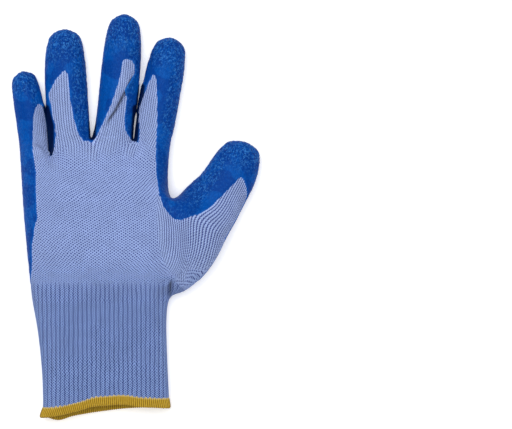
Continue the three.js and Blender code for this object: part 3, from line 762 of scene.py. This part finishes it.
def grid_points(grid):
    """The points of each grid of quads, in rows."""
    size = grid.shape[1]
    ids = np.empty((len(grid), size + 1, size + 1), int)
    ids[:, :size, :size] = grid[..., 0]
    ids[:, :size, size] = grid[:, :, -1, 1]
    ids[:, size, :size] = grid[:, -1, :, 3]
    ids[:, size, size] = grid[:, -1, -1, 2]
    return ids


def glove_surface():
    """The glove's outermost surface, as one grid of points for each quad of the cage."""
    cage, digits = build_cage()
    points, grid = fitted(cage)
    folds = fold_lift(BACK_FOLDS, points) * smooth(points[:, SIDE])
    folds += fold_lift(PALM_FOLDS, points) * smooth(-points[:, SIDE])
    points[:, 2] = np.maximum(0, points[:, 2] + folds - SOLE_FLAT)
    ids = grid_points(grid)
    patches = np.empty((*ids.shape, CHANNELS))
    patches[..., :4] = points[ids]
    patches[..., NORMAL] = normals_of(points, grid.reshape(-1, 4))[ids]
    shares = np.linspace(0, 1, ids.shape[1])
    u, v = shares[None, None, :, None], shares[None, :, None, None]
    corners = np.array(cage.stitches)[:, :, None, None, :]
    patches[..., WALE:] = mix(mix(corners[:, 0], corners[:, 1], u), mix(corners[:, 3], corners[:, 2], u), v)
    return patches, np.array(cage.owners), np.array(cage.rows), digits


def resampled(patches, across, up):
    """The patches' grids with another count of steps."""
    size = patches.shape[1] - 1

    def steps(count):
        at = np.linspace(0, size, count + 1)
        whole = np.minimum(at.astype(int), size - 1)
        return whole, at - whole

    i, s = steps(up)
    j, t = steps(across)
    s, t = s[None, :, None, None], t[None, None, :, None]
    low = mix(patches[:, i][:, :, j], patches[:, i][:, :, j + 1], t)
    high = mix(patches[:, i + 1][:, :, j], patches[:, i + 1][:, :, j + 1], t)
    return mix(low, high, s)


def welded(table, triangles):
    """Joins the points that lie in one place and on one wale. Gives the points kept and the triangles."""
    keys = np.round(table[:, [0, 1, 2, WALE]], 3) + 0.0
    _, first, inverse = np.unique(keys, axis=0, return_index=True, return_inverse=True)
    triangles = inverse.ravel()[triangles]
    return table[first], triangles[(triangles != np.roll(triangles, 1, axis=1)).all(1)]


def halves(a, b, c, d):
    """Two triangles for each quad."""
    return [np.stack([a, b, c], -1).reshape(-1, 3), np.stack([a, c, d], -1).reshape(-1, 3)]


def sewn(chosen, across, cell, stitched=True):
    """The chosen quads' patches as one mesh of points and triangles. cell is the length of a step up."""
    points, triangles, start = [], [], 0
    for row in np.unique(ROWS[chosen]):
        picked = PATCHES[chosen & (ROWS == row)]
        length = np.linalg.norm(picked[:, -1, 0, :3] - picked[:, 0, 0, :3], axis=1).mean()
        up = across if row in TIP_ROWS else max(2, round(length / cell))
        grid = resampled(picked, across, up)
        ids = start + np.arange(grid[..., 0].size).reshape(grid.shape[:3])
        triangles += halves(ids[:, :-1, :-1], ids[:, :-1, 1:], ids[:, 1:, 1:], ids[:, 1:, :-1])
        points.append(grid.reshape(-1, CHANNELS))
        start += ids.size
    points = np.vstack(points)
    if not stitched:
        points[:, [WALE, ROW]] = 0
    return welded(points, np.vstack(triangles))


def inside_outline(outline, points):
    """Millimetres inside a closed outline, and negative outside it."""
    x, y = points[:, 0], points[:, 1]
    nearest = np.full(len(points), np.inf)
    inside = np.zeros(len(points), bool)
    for a, b in zip(outline, np.roll(outline, -1, axis=0)):
        nearest = np.minimum(nearest, along_line(points, a, b)[1])
        dx, dy = b - a
        if dy:
            inside ^= ((a[1] > y) != (b[1] > y)) & (x < a[0] + (y - a[1]) / dy * dx)
    return np.where(inside, nearest, -nearest)


def coating_value(points):
    """Millimetres inside the coating's edge: positive on the coating and negative on the bare knit."""
    x, y = points[:, 0], points[:, 1]
    up = (y - CUFF_LENGTH) / PALM_LENGTH
    first, last = (look_up(BACK_WINDOW, side, up) * PALM_WIDTH for side in (1, 2))
    left, right = (hand_point(place) for place in PALM_ROWS[-1][0])
    crotches = [(mix(left[0], right[0], across), hand_point((0, height))[1]) for across, height in CROTCHES]
    tops = np.array([tuple(left), *crotches, tuple(right)])
    back = np.maximum(np.maximum(first - x, x - last), y - look_up(tops, 1, x))
    thumb = DIGIT_LIST[-1]
    at, across = place_on(thumb, points)
    first, last = (look_up(THUMB_TONGUE, side, at) for side in (1, 2))
    beside = np.maximum(first - across, across - last) * thumb["width"]
    back = np.minimum(back, np.maximum(beside, (TONGUE_ROOT - at) * thumb["length"]))
    for outline in BARE:
        back = np.minimum(back, -inside_outline(outline, points))
    for outline in COATED:
        back = np.maximum(back, inside_outline(outline, points))
    palm = y - (CUFF_LENGTH + look_up(PALM_LINE, 1, x / PALM_WIDTH) * PALM_LENGTH)
    near_palm, near_back = (np.clip(side, -EDGE_BAND, EDGE_BAND) for side in (palm, back))
    return mix(near_palm, near_back, np.clip(points[:, SIDE] + 0.5, 0, 1))


def noise_at(places, size, seed):
    """Smooth noise between about -1 and 1 at each place, with features of about that size."""
    offset = Vector((seed * 17.3, seed * 5.1, seed * 9.7))
    return np.array([noise.noise(Vector(p) + offset) for p in (places / size).tolist()])


def trimmed(points, triangles, values):
    """The part of a mesh where the values are above zero, and its points' values."""
    table = np.column_stack([points, values])
    inside = values > 0
    kept, made, start = [triangles[inside[triangles].all(1)]], [], len(table)
    counts = inside[triangles].sum(1)
    for wanted in (1, 2):
        cut = triangles[counts == wanted]
        lone = inside[cut] if wanted == 1 else ~inside[cut]
        turn = lone.argmax(1)
        a, b, c = (cut[np.arange(len(cut)), (turn + k) % 3] for k in range(3))
        for other in (b, c):
            share = np.clip(values[a] / (values[a] - values[other]), 0.03, 0.97)[:, None]
            made.append(mix(table[a], table[other], share))
        ab, ac = start + np.arange(2 * len(cut)).reshape(2, -1)
        start += 2 * len(cut)
        kept += [np.stack([a, ab, ac], -1)] if wanted == 1 else halves(ab, b, c, ac)
    table, triangles = welded(np.vstack([table, *made]), np.vstack(kept))
    used, compact = np.unique(triangles, return_inverse=True)
    return table[used, :-1], compact.reshape(-1, 3), table[used, -1]


def sunk(points, depth):
    """The points' places at a depth under the surface."""
    return points[:, PLACE] - points[:, NORMAL] * np.asarray(depth).reshape(-1, 1)


def placed(name, data):
    """A new object in the scene."""
    made = bpy.data.objects.new(name, data)
    bpy.context.scene.collection.objects.link(made)
    return made


def piece(name, places, triangles, material, slot, nodes=(), **layers):
    """A piece of the glove, in metres round its middle, with the layers that its material reads."""
    mesh = bpy.data.meshes.new(name)
    mesh.from_pydata(((places - CENTRE) * MM).tolist(), [], triangles.tolist())
    mesh.polygons.foreach_set("use_smooth", np.ones(len(mesh.polygons), bool))
    for key, values in layers.items():
        values = np.asarray(values, np.float32)
        kind, field = ("FLOAT_VECTOR", "vector") if values.ndim == 2 else ("FLOAT", "value")
        mesh.attributes.new(key, kind, "POINT").data.foreach_set(field, values.ravel())
    mesh.materials.append(material)
    obj = placed(name, mesh)
    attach(obj, "root")
    if nodes:
        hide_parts(*nodes)
    return obj


class Value:
    """A socket of a material's nodes, so that shader maths reads as arithmetic."""

    def __init__(self, shader, socket):
        self.shader, self.socket = shader, socket

    def maths(self, operation, *others):
        inputs = {i: value for i, value in enumerate((self, *others))}
        return self.shader.node("ShaderNodeMath", dict(operation=operation), inputs)

    def __add__(self, other):
        return self.maths("ADD", other)

    __radd__ = __add__

    def __mul__(self, other):
        return self.maths("MULTIPLY", other)

    __rmul__ = __mul__

    def __sub__(self, other):
        return self.maths("SUBTRACT", other)

    def __rsub__(self, other):
        return self * -1 + other

    def __pow__(self, other):
        return self.maths("POWER", other)

    def __abs__(self):
        return self.maths("ABSOLUTE")

    def __mod__(self, other):
        return self.maths("FLOORED_MODULO", other)

    def between(self, low, high):
        """0 at low and 1 at high, smooth on the way and level past both."""
        settings = dict(interpolation_type="SMOOTHSTEP")
        inputs = {"Value": self, "From Min": low, "From Max": high}
        return self.shader.node("ShaderNodeMapRange", settings, inputs)


class Shader:
    """One material's nodes."""

    def __init__(self, name):
        self.material = bpy.data.materials.new(name)
        self.material.use_nodes = True
        self.nodes = self.material.node_tree.nodes
        self.links = self.material.node_tree.links
        self.surface = self.nodes["Principled BSDF"]

    def feed(self, socket, value):
        if isinstance(value, Value):
            self.links.new(value.socket, socket)
        elif isinstance(value, tuple) and socket.type == "RGBA":
            socket.default_value = (*value, 1)
        else:
            socket.default_value = value

    def node(self, kind, settings, inputs, output=0):
        """Adds a node: first its settings, then the values or links of its sockets."""
        made = self.nodes.new(kind)
        for key, value in settings.items():
            setattr(made, key, value)
        for key, value in inputs.items():
            self.feed(made.inputs[key], value)
        return Value(self, made.outputs[output])

    def blend(self, share, a, b, kind="MIX"):
        """Colour a where share is 0 and colour b where it is 1."""
        settings = dict(data_type="RGBA", blend_type=kind)
        return self.node("ShaderNodeMix", settings, {0: share, 6: a, 7: b}, 2)

    def coated(self, seen, *coats):
        """A colour with others over it, each as dense as its share."""
        base = colour(seen)
        for share, coat in coats:
            base = self.blend(share, base, colour(coat))
        return base

    def tinted(self, tint, share):
        """A colour made darker or lighter by a share that changes over the surface."""
        grey = self.node("ShaderNodeCombineColor", {}, {0: share, 1: share, 2: share})
        return self.blend(1.0, tint, grey, "MULTIPLY")

    def noise(self, size, detail=2.0, rough=0.5, places=None):
        """Noise with features of about that size in metres, on the glove or at the places given."""
        places = places or self.node("ShaderNodeTexCoord", {}, {}, 3)
        inputs = {"Vector": places, "Scale": 1 / size, "Detail": detail, "Roughness": rough}
        return self.node("ShaderNodeTexNoise", {}, inputs)

    def layer(self, name):
        """A number that the mesh keeps at each point."""
        return self.node("ShaderNodeAttribute", dict(attribute_name=name), {}, 2)

    def layers(self, name):
        """Three numbers that the mesh keeps at each point."""
        stored = self.node("ShaderNodeAttribute", dict(attribute_name=name), {}, 1)
        split = self.node("ShaderNodeSeparateXYZ", {}, {0: stored})
        return [Value(self, output) for output in split.socket.node.outputs]

    def bump(self, height, distance, strength=1.0):
        inputs = {"Height": height, "Distance": distance, "Strength": strength}
        return self.node("ShaderNodeBump", {}, inputs)

    def constants(self, **inputs):
        """Sets sockets of the surface that stay the same all over it."""
        for key, value in inputs.items():
            self.surface.inputs[key.replace("_", " ")].default_value = value

    def finish(self, **inputs):
        for key, value in inputs.items():
            self.feed(self.surface.inputs[key.replace("_", " ")], value)
        return self.material


def colour(seen):
    """A colour as it is seen, from 0 to 255, in the renderer's linear light."""
    def linear(value):
        value /= 255
        return value / 12.92 if value <= 0.04045 else ((value + 0.055) / 1.055) ** 2.4
    return tuple(linear(value) for value in seen)


def spread_loops(wale, course):
    """Flat stitches with gaps in each V and, half a course on, between wales. Gives gaps and height."""
    across, rise = from_middle(wale), from_middle(course)
    between_wales = across.between(0.4, 1.0) * rise.between(0.3, 0.9)
    in_loop = across.between(0.6, 0.0) * rise.between(0.7, 0.1)
    open_share = between_wales * 1.15 + in_loop * 0.95
    return open_share, 1 - open_share * 0.6


def stagger(wale):
    """Half a course more on every second wale."""
    return wale.maths("FLOOR") % 2 * 0.5


def drawn_loops(wale, course):
    """Stitches drawn lengthwise, with slots of painted shade between wales. Gives gaps, height and valleys.
    """
    across = from_middle(wale)
    leg = from_middle(course + across * 0.9 + stagger(wale))
    valley = across.between(0.3, 1.0)
    hole = leg.between(0.15, 0.75) * valley
    open_share = valley * 0.05 + hole * 1.35 + leg.between(0.45, 1.0) * (1 - valley) * 0.4
    height = (1 - across ** 2.0) * 0.6 + (1 - leg ** 2.0) * 0.4
    return open_share, height, valley


def rib_stitches(wale, course, tone):
    """The cuff's drawn ribs, and spread stitches where they reach the hand. Gives gaps and height."""
    gap, height, _ = drawn_loops(wale, course)
    middle = from_middle(wale).between(0.32, 0.0)
    gap = gap + middle * from_middle(course + stagger(wale)).between(0.2, 0.9) * 0.75
    spread_gap, spread_height = spread_loops(wale * 2 * SPREAD_WALES, course * (RIB_COURSE / SPREAD_COURSE))
    spread = tone.between(0.36, 0.5)
    return mix(gap, spread_gap, spread), mix(height, spread_height, spread)


def plain_stitches(wale, course, tone):
    """The hand's spread stitches, drawn lengthwise on the digits. Gives gaps and height."""
    gap, height = spread_loops(wale * SPREAD_WALES, course * (COURSE / SPREAD_COURSE))
    drawn_gap, drawn_height, valley = drawn_loops(wale, course)
    drawn_gap = drawn_gap + valley * tone.between(1.4, 2.0) * 0.35
    drawn = tone.between(1.0, 1.4)
    return mix(gap, drawn_gap, drawn), mix(height, drawn_height, drawn)


def knit_finish(name, stitches):
    """Knitted yarn: a V for each stitch, painted shade where the loops leave gaps and in creases, with
    heather and slight clouds.
    """
    shader = Shader(name)
    wale, course, tone = shader.layers("stitch")
    wale = wale + (shader.noise(0.006, 1.0, 0.5) - 0.5) * 0.4
    course = course + (shader.noise(0.004, 1.0, 0.5) - 0.5) * 0.8
    gap, height = stitches(wale, course, tone)
    heather = shader.noise(0.0012, 2.0, 0.6)
    cloud = shader.noise(0.014, 3.0, 0.55) + (shader.noise(0.0045, 2.0, 0.5) - 0.5) * 0.7
    hand = tone.between(0.0, 1.0)
    yarn = shader.coated(CUFF_YARN, (hand, HAND_YARN), (tone.between(1.0, 1.4), DIGIT_YARN))
    # Painted shade: the gaps between the loops are darkened.
    base = shader.blend(gap.between(0.05, 0.9), yarn, shader.coated(CUFF_GAP_SHADE, (hand, HAND_GAP_SHADE)))
    # Painted shade from the mesh's shade layer darkens the creases and the liner's inside; below zero it
    # makes the yarn paler at the coating's edge.
    shade = (0.63 + cloud * 0.3 + heather * 0.44) * (1 - shader.layer("shade") * 0.75)
    normal = shader.bump(height + heather * 0.3, 0.0005, 0.7)
    shader.constants(Sheen_Weight=0.08, Sheen_Roughness=0.6, Specular_IOR_Level=0.12)
    return shader.finish(Base_Color=shader.tinted(base, shade), Roughness=0.9, Normal=normal)


def latex_finish():
    """Dipped rubber: saturated blue and crinkled, with pale painted highlights along its creases and in
    lighter patches, and painted shade in its creases and between the fingers.
    """
    shader = Shader("crinkled_latex")
    across, along, height = shader.layers("grain")
    crumple = shader.layer("crumple")
    drawn_out = {0: across + along * 0.2, 1: along * 0.42, 2: height}
    lengthwise = shader.node("ShaderNodeCombineXYZ", {}, drawn_out)
    patch = shader.noise(0.013, 1.0, 0.4)
    crease = abs(shader.noise(1.5, 2.0, 0.6, lengthwise) - 0.5) * 2
    highlight_spots = shader.noise(0.5, 1.0, 0.5, lengthwise)
    stipple = shader.noise(0.0012, 1.0, 0.5)
    ridge = abs(shader.noise(0.85, 1.0, 0.5, lengthwise) - 0.5) * 2
    broken = shader.noise(0.0016, 1.0, 0.5).between(0.45, 0.6)
    # Painted highlight: lighter patches, and pale marks along the crinkle's ridges and in its stipple.
    highlight_patches = patch.between(0.5, 0.56) * (1 - crumple * 0.6)
    highlight_flecks = ridge.between(0.2, 0.0) * broken * (crumple * 1.1 - 0.1)
    highlight_flecks = highlight_flecks + highlight_spots.between(0.62, 0.7) * crumple * 0.6
    base = shader.coated(
        LATEX,
        (highlight_patches, LATEX_HIGHLIGHT_PATCH),
        # Painted shade: darker in the crinkle's creases and between the fingers.
        (crease.between(0.2, 0.0) * (0.15 + crumple * 0.55), LATEX_CREASE_SHADE),
        (highlight_flecks * 0.62 + stipple.between(0.64, 0.76) * 0.08, LATEX_HIGHLIGHT),
        (shader.layer("soaked") * 0.5, LATEX_SOAKED),
        (shader.layer("shade").between(0.1, 0.6) * 0.95, LATEX_GAP_SHADE),
    )
    relief = crease * 0.5 + (1 - ridge) * 0.35 + stipple * 0.25
    normal = shader.bump(relief * (0.5 + crumple * 0.5), 0.0007, 0.9)
    shader.constants(Specular_IOR_Level=0.04)
    return shader.finish(Base_Color=base, Roughness=0.3 + stipple * 0.2, Normal=normal)


def hem_finish():
    """Overlock thread: yellow strands side by side, with painted shade between them, and pale at the needle's
    row.
    """
    shader = Shader("overlock_thread")
    strand, along, _ = shader.layers("stitch")
    across = from_middle(strand)
    ply = (along * 1.3 + strand * 2) % 1
    heather = shader.noise(0.0014, 2.0, 0.6)
    base = shader.coated(
        THREAD,
        # Painted shade between the strands.
        (across.between(0.4, 1.0), THREAD_GAP_SHADE),
        (heather.between(0.4, 0.8) * 0.35, THREAD_FADED),
        (shader.layer("pale") * (1 - across.between(0.5, 0.9)), THREAD_PALE),
    )
    normal = shader.bump((1 - across ** 2.0) + ply * 0.2 + heather * 0.2, 0.0004, 0.6)
    shader.constants(Specular_IOR_Level=0.15)
    return shader.finish(Base_Color=base, Roughness=0.8, Normal=normal)


def crease_at(points):
    """How deep in one of the knit's sharp creases each point of the back lies, from 0 to 1."""
    depth = np.zeros(len(points))
    for line, half in CREASES:
        line = np.array(line)
        lengths = np.linalg.norm(np.diff(line, axis=0), axis=1)
        reached, nearest = 0, np.full(len(points), np.inf)
        share = np.zeros(len(points))
        for start, end, length in zip(line, line[1:], lengths):
            along, away = along_line(points, start, end)
            there = (reached + np.clip(along, 0, 1) * length) / lengths.sum()
            share = np.where(away < nearest, there, share)
            nearest = np.minimum(nearest, away)
            reached += length
        ends = smooth(share / 0.2) * smooth((1 - share) / 0.2)
        depth = np.maximum(depth, ends * np.exp(-(nearest / half) ** 2))
    return depth * smooth(points[:, SIDE])


def beside_lines(points, lines):
    """1 on the lines and nearly 0 from 4 mm away, for the gaps between fingers."""
    amount = np.zeros(len(points))
    for start, end in lines:
        along, away = along_line(points, np.array(start), np.array(end))
        amount = np.maximum(amount, np.exp(-(away / 2.2) ** 2) * (along > -0.2) * (along < 1.2))
    return amount


def relax_stitches(points, triangles):
    """Evens out stitch counts on the back above the wrist, so that wales bend smoothly into the digits."""
    here, following = triangles.ravel(), np.roll(triangles, 1, axis=1).ravel()
    near, far = np.concatenate([here, following]), np.concatenate([following, here])
    above = ramp(points[:, 1], *RELAXED_UP)
    back = RELAX_BACK * ramp(points[:, SIDE], 0.2, 0.5) * above
    thumb = RELAX_THUMB * ramp(points[:, SIDE], -0.2, 0.4) * above * ramp(points[:, 0], *RELAXED_ACROSS)
    for weight, passes in ((back, RELAX_PASSES), (thumb, 5 * RELAX_PASSES)):
        moving = np.flatnonzero(weight)
        kept = weight[near] > 0
        place = np.zeros(len(points), int)
        place[moving] = np.arange(len(moving))
        own, other = place[near[kept]], far[kept]
        uses = np.bincount(own, minlength=len(moving))
        for column in (WALE, ROW):
            values = points[:, column].copy()
            for _ in range(passes):
                mean = np.bincount(own, values[other], len(moving)) / uses
                values[moving] += weight[moving] * (mean - values[moving])
            points[:, column] = values


def straighten_ribs(points, wales_each):
    """Round the wrist the wales of the back stand straight up, whatever the mesh's columns do."""
    middle = palm_ring(0)[THUMB_COLUMN // 2][0]
    straight = (points[:, 0] - middle) / RIB_PITCH * wales_each
    share = ramp(points[:, SIDE], 0.3, 0.6) * (1 - ramp(points[:, 1], *RIBS_END_UP))
    points[:, WALE] = mix(points[:, WALE], straight, share)


def stitches_of(points, tone):
    return np.column_stack([points[:, WALE], points[:, ROW], tone])


def cuff_to_hand(points):
    """0 at the mouth, where the yarn is darkest, and 1 on the hand."""
    return ramp(points[:, 1], TONE_START, TONE_LENGTH)


def knit_tone(points):
    """Which yarn and stitches show: 0 at the mouth, 1 on the hand, and up to 2 on the digits."""
    *fingers, thumb = DIGIT_LIST
    at, _ = place_on(thumb, points)
    beyond_ball = np.maximum(ramp(points[:, 1], *BALL_TOP), 1 - ramp(points[:, 0], *BALL_SIDE))
    on_thumb = ramp(at, *THUMB_DRAWN_ALONG) * ramp(points[:, 0], *THUMB_DRAWN_ACROSS)
    tone = cuff_to_hand(points) + on_thumb * beyond_ball
    drawn_to = DRAWN_BEHIND + DRAWN_UNEVEN * noise_at(points[:, PLACE], 9, 5)
    for digit in fingers:
        at, across = place_on(digit, points)
        tone += FINGER_DRAWN * ramp(at, -drawn_to, DRAWN_OVER) * (np.abs(across - 0.5) < 0.6)
    return tone


def rib_knit_cuff(material):
    """The cuff's rib, from under the hem to the hand."""
    points, triangles = sewn((OWNERS == "cuff") & (ROWS > 0), *CUFF_MESH)
    straighten_ribs(points, 1)
    points[:, ROW] /= RIB_COURSE
    tone, crease = cuff_to_hand(points), crease_at(points)
    relief = RIB_RELIEF * np.cos(np.pi * from_middle(points[:, WALE]) / 2) ** 0.8 - RIB_SINK
    depth = KNIT_DEPTH - relief * (1 - ramp(tone, *RIBS_SINK)) + CREASE_DEPTH * crease
    # The creases are darkened with painted shade.
    return piece("rib_knit_cuff", sunk(points, depth), triangles, material, "rib_knit", ["ribbed_cuff"],
                 stitch=stitches_of(points, tone), shade=crease)


def knitted_back(material):
    """The knit that shows on the back of the hand and of the digits, and a margin of it under the coating."""
    points, triangles = sewn(OWNERS != "cuff", *BACK_MESH)
    straighten_ribs(points, 2)
    relax_stitches(points, triangles)
    points, triangles, _ = trimmed(points, triangles, KNIT_MARGIN - coating_value(points))
    points[:, ROW] /= COURSE
    tone, crease = knit_tone(points), crease_at(points)
    pale_edge = 0.16 * np.exp(-(coating_value(points) / 1.1) ** 2)
    wrist = smooth((points[:, 1] - TONE_START - TONE_LENGTH / 2) / 5)
    relief = WALE_RELIEF * np.clip(tone - 1, 0, 1) * (0.5 - from_middle(points[:, WALE]) ** 2)
    depth = KNIT_DEPTH - relief * wrist + CREASE_DEPTH * crease
    nodes = ["knit_hand", *(f"knit_{name}" for name in DIGITS)]
    # The creases are darkened with painted shade, and the yarn at the coating's edge is paler.
    return piece("knitted_back", sunk(points, depth), triangles, material, "knit", nodes,
                 stitch=stitches_of(points, tone), shade=crease - pale_edge)


def crumpling(points):
    """How crinkled the coating is: most at the tips, and much on the sides that face the gap at the thumb."""
    amount = np.full(len(points), 0.4)
    for digit in DIGIT_LIST:
        at, across = place_on(digit, points)
        on = smooth(at / 0.2) * smooth((0.8 - np.abs(across - 0.5)) / 0.2)
        tip = ramp(at, 0.55, 0.35)
        rough_side = 1 - across if digit["name"] == "thumb" else across
        side = 0.8 * ramp(rough_side, 0.55, 0.2)
        amount = mix(amount, np.maximum(0.2, np.maximum(tip, side)), on)
    return amount


def grain_of(points):
    """Places on the coating whose second number runs along the digits. It turns with the thumb."""
    thumb = DIGIT_LIST[-1]
    at, _ = place_on(thumb, points)
    turn = np.radians(thumb["lean"]) * ramp(at, -0.3, 0.5) * (points[:, 0] > thumb["root"][0] - 30)
    dx, dy = points[:, 0] - thumb["root"][0], points[:, 1] - thumb["root"][1]
    across = dx * np.cos(turn) - dy * np.sin(turn)
    along = dx * np.sin(turn) + dy * np.cos(turn)
    return np.column_stack([across, along, points[:, 2]])


def crinkled_latex(material):
    """The crinkled coating, thin at its edge, where it has soaked into the stitches."""
    points, triangles = sewn(ROWS > 0, *COATING_MESH, stitched=False)
    places = points[:, PLACE]
    ragged = 0.35 * noise_at(places, 1.5, 1) + 0.3 * noise_at(places, 4.5, 2)
    points, triangles, inside = trimmed(points, triangles, coating_value(points) + ragged)
    crumple, grain = crumpling(points), grain_of(points)
    soaked = 1 - ramp(inside, 0.2, 0.8)
    fold = (1 - np.abs(noise_at(grain * (1, 0.5, 1), 2.4, 3))) ** 3
    fine = noise_at(grain * (1, 0.5, 1), 1.3, 4)
    crinkle = (FOLD_RELIEF * (fold - 0.45) + CRINKLE_RELIEF * fine) * (0.35 + crumple)
    depth = mix(KNIT_DEPTH + 0.2, 0.12, smooth(inside / 0.9)) - crinkle * smooth(inside / 2.2)
    depth = depth - TOUCH_DEPTH * beside_lines(points, TOUCHING)
    # The coating is darkened with painted shade in the deep gaps between fingers.
    return piece("crinkled_latex", sunk(points, depth), triangles, material, "latex", ["latex_coating"],
                 grain=grain, crumple=crumple, soaked=soaked, shade=beside_lines(points, SHADED_GAPS))


def liner_inside(material):
    """The liner's inner side, seen through the mouth, darkened with painted shade."""
    points, triangles = sewn(ROWS > 0, *LINER_MESH)
    points[:, ROW] /= COURSE
    # One number sets the liner's yarn tone and paints shade over its inside.
    liner_tone_and_shade = np.full(len(points), 0.3)
    return piece("liner_inside", sunk(points, LINER_INSIDE), triangles[:, ::-1], material, "knit",
                 stitch=stitches_of(points, liner_tone_and_shade), shade=liner_tone_and_shade)


def hem_edge():
    """Points round the mouth, the way up from each and its length under the hem, and the way out."""
    grid = resampled(PATCHES[ROWS == 0], HEM_SAMPLES, 2)
    low, high = (grid[:, row, :-1].reshape(-1, CHANNELS) for row in (0, -1))
    up = high[:, PLACE] - low[:, PLACE]
    length = np.linalg.norm(up, axis=1)[:, None]
    up /= length
    normal = high[:, NORMAL] - up * (high[:, NORMAL] * up).sum(1)[:, None]
    normal /= np.linalg.norm(normal, axis=1)[:, None]
    return low[:, PLACE], up, length, normal


def overlocked_hem(material):
    """Overlock thread, sewn over the cuff's edge: strands side by side round an outer and an inner layer."""
    mouth, up, length, normal = hem_edge()
    around = np.linspace(0, HEM_STRANDS, len(mouth), endpoint=False)
    rounded = np.sqrt(1 - from_middle(around) ** 2)
    uneven = np.sin(around * 2.4) * 0.15 + np.sin(around * 0.31) * 0.2
    rings = []
    for k, (along, depth, proud, loop) in enumerate(HEM_PATH):
        before, after = HEM_PATH[k - 1], HEM_PATH[(k + 1) % len(HEM_PATH)]
        step = np.array([(after[0] - before[0]) * HEM_LENGTH, after[1] - before[1]])
        outward = np.array([step[1], -step[0]]) / np.hypot(*step)
        lift = (STRAND_PROUD * rounded * proud)[:, None]
        places = mouth + up * (along * length) - normal * depth
        places = places + lift * (outward[0] * up - outward[1] * normal)
        rings.append(places + up * (loop * (LOOP_REACH * rounded + uneven))[:, None])
    steps, width = len(rings), len(mouth)
    ids = np.arange(steps * width).reshape(steps, width)
    right, down = np.roll(ids, -1, axis=1), np.roll(ids, -1, axis=0)
    triangles = np.vstack(halves(ids, right, np.roll(down, -1, axis=1), down))
    alongs, loops = np.arange(steps) * 0.7, [loop for _, _, _, loop in HEM_PATH]
    stitches = np.column_stack([np.tile(around, steps), np.repeat(alongs, width), np.zeros(steps * width)])
    return piece("overlocked_hem", np.vstack(rings), triangles, material, "hem_thread", ["cuff_hem"],
                 stitch=stitches, pale=np.repeat(loops, width))


def paper_finish():
    """White paper with a faint tooth."""
    shader = Shader("white_paper")
    tooth = shader.noise(0.002, 3.0, 0.6)
    shader.constants(Emission_Color=WHITE, Emission_Strength=PAPER_GLOW)
    return shader.finish(Base_Color=shader.tinted(PAPER, 0.98 + tooth * 0.03), Roughness=0.9)


def lay_floor():
    """The pale floor that the glove lies on."""
    mesh = bpy.data.meshes.new("floor")
    corners = [(x * FLOOR_HALF, y * FLOOR_HALF, -FLOOR_DROP) for x, y in ((-1, -1), (1, -1), (1, 1), (-1, 1))]
    mesh.from_pydata(corners, [], [(0, 1, 2, 3)])
    mesh.materials.append(paper_finish())
    floor = placed("floor", mesh)


def add_lights():
    """Even light from all round, and the lamps."""
    world = bpy.data.worlds.new("soft_room")
    world.use_nodes = True
    world.node_tree.nodes["Background"].inputs["Color"].default_value = WHITE
    world.node_tree.nodes["Background"].inputs["Strength"].default_value = ROOM_LIGHT
    bpy.context.scene.world = world
    for name, place, size, power in LAMPS:
        light = bpy.data.lights.new(name, "AREA")
        light.size, light.energy = size, power
        lamp = placed(name, light)
        lamp.location = place
        lamp.rotation_euler = (-Vector(place)).to_track_quat("-Z", "Y").to_euler()


def add_camera():
    """The camera, straight over the glove."""
    lens = bpy.data.cameras.new("camera")
    lens.sensor_width = SENSOR_WIDTH
    lens.lens = SENSOR_WIDTH * VIEW_HEIGHT / VIEW_WIDTH
    lens.clip_end = 20
    eye = placed("camera", lens)
    eye.location = (*VIEW_MIDDLE, VIEW_HEIGHT + VIEW_LEVEL)
    bpy.context.scene.camera = eye
    bpy.context.scene.view_settings.view_transform = "Standard"


PATCHES, OWNERS, ROWS, DIGIT_LIST = glove_surface()
TIP_ROWS = {row for row in np.unique(ROWS) if (ROWS == row).sum() == 4}

plain_knit = knit_finish("plain_knit", plain_stitches)
rib_knit_cuff(knit_finish("rib_knit", rib_stitches))
knitted_back(plain_knit)
crinkled_latex(latex_finish())
liner_inside(plain_knit)
overlocked_hem(hem_finish())
lay_floor()
add_lights()
add_camera()
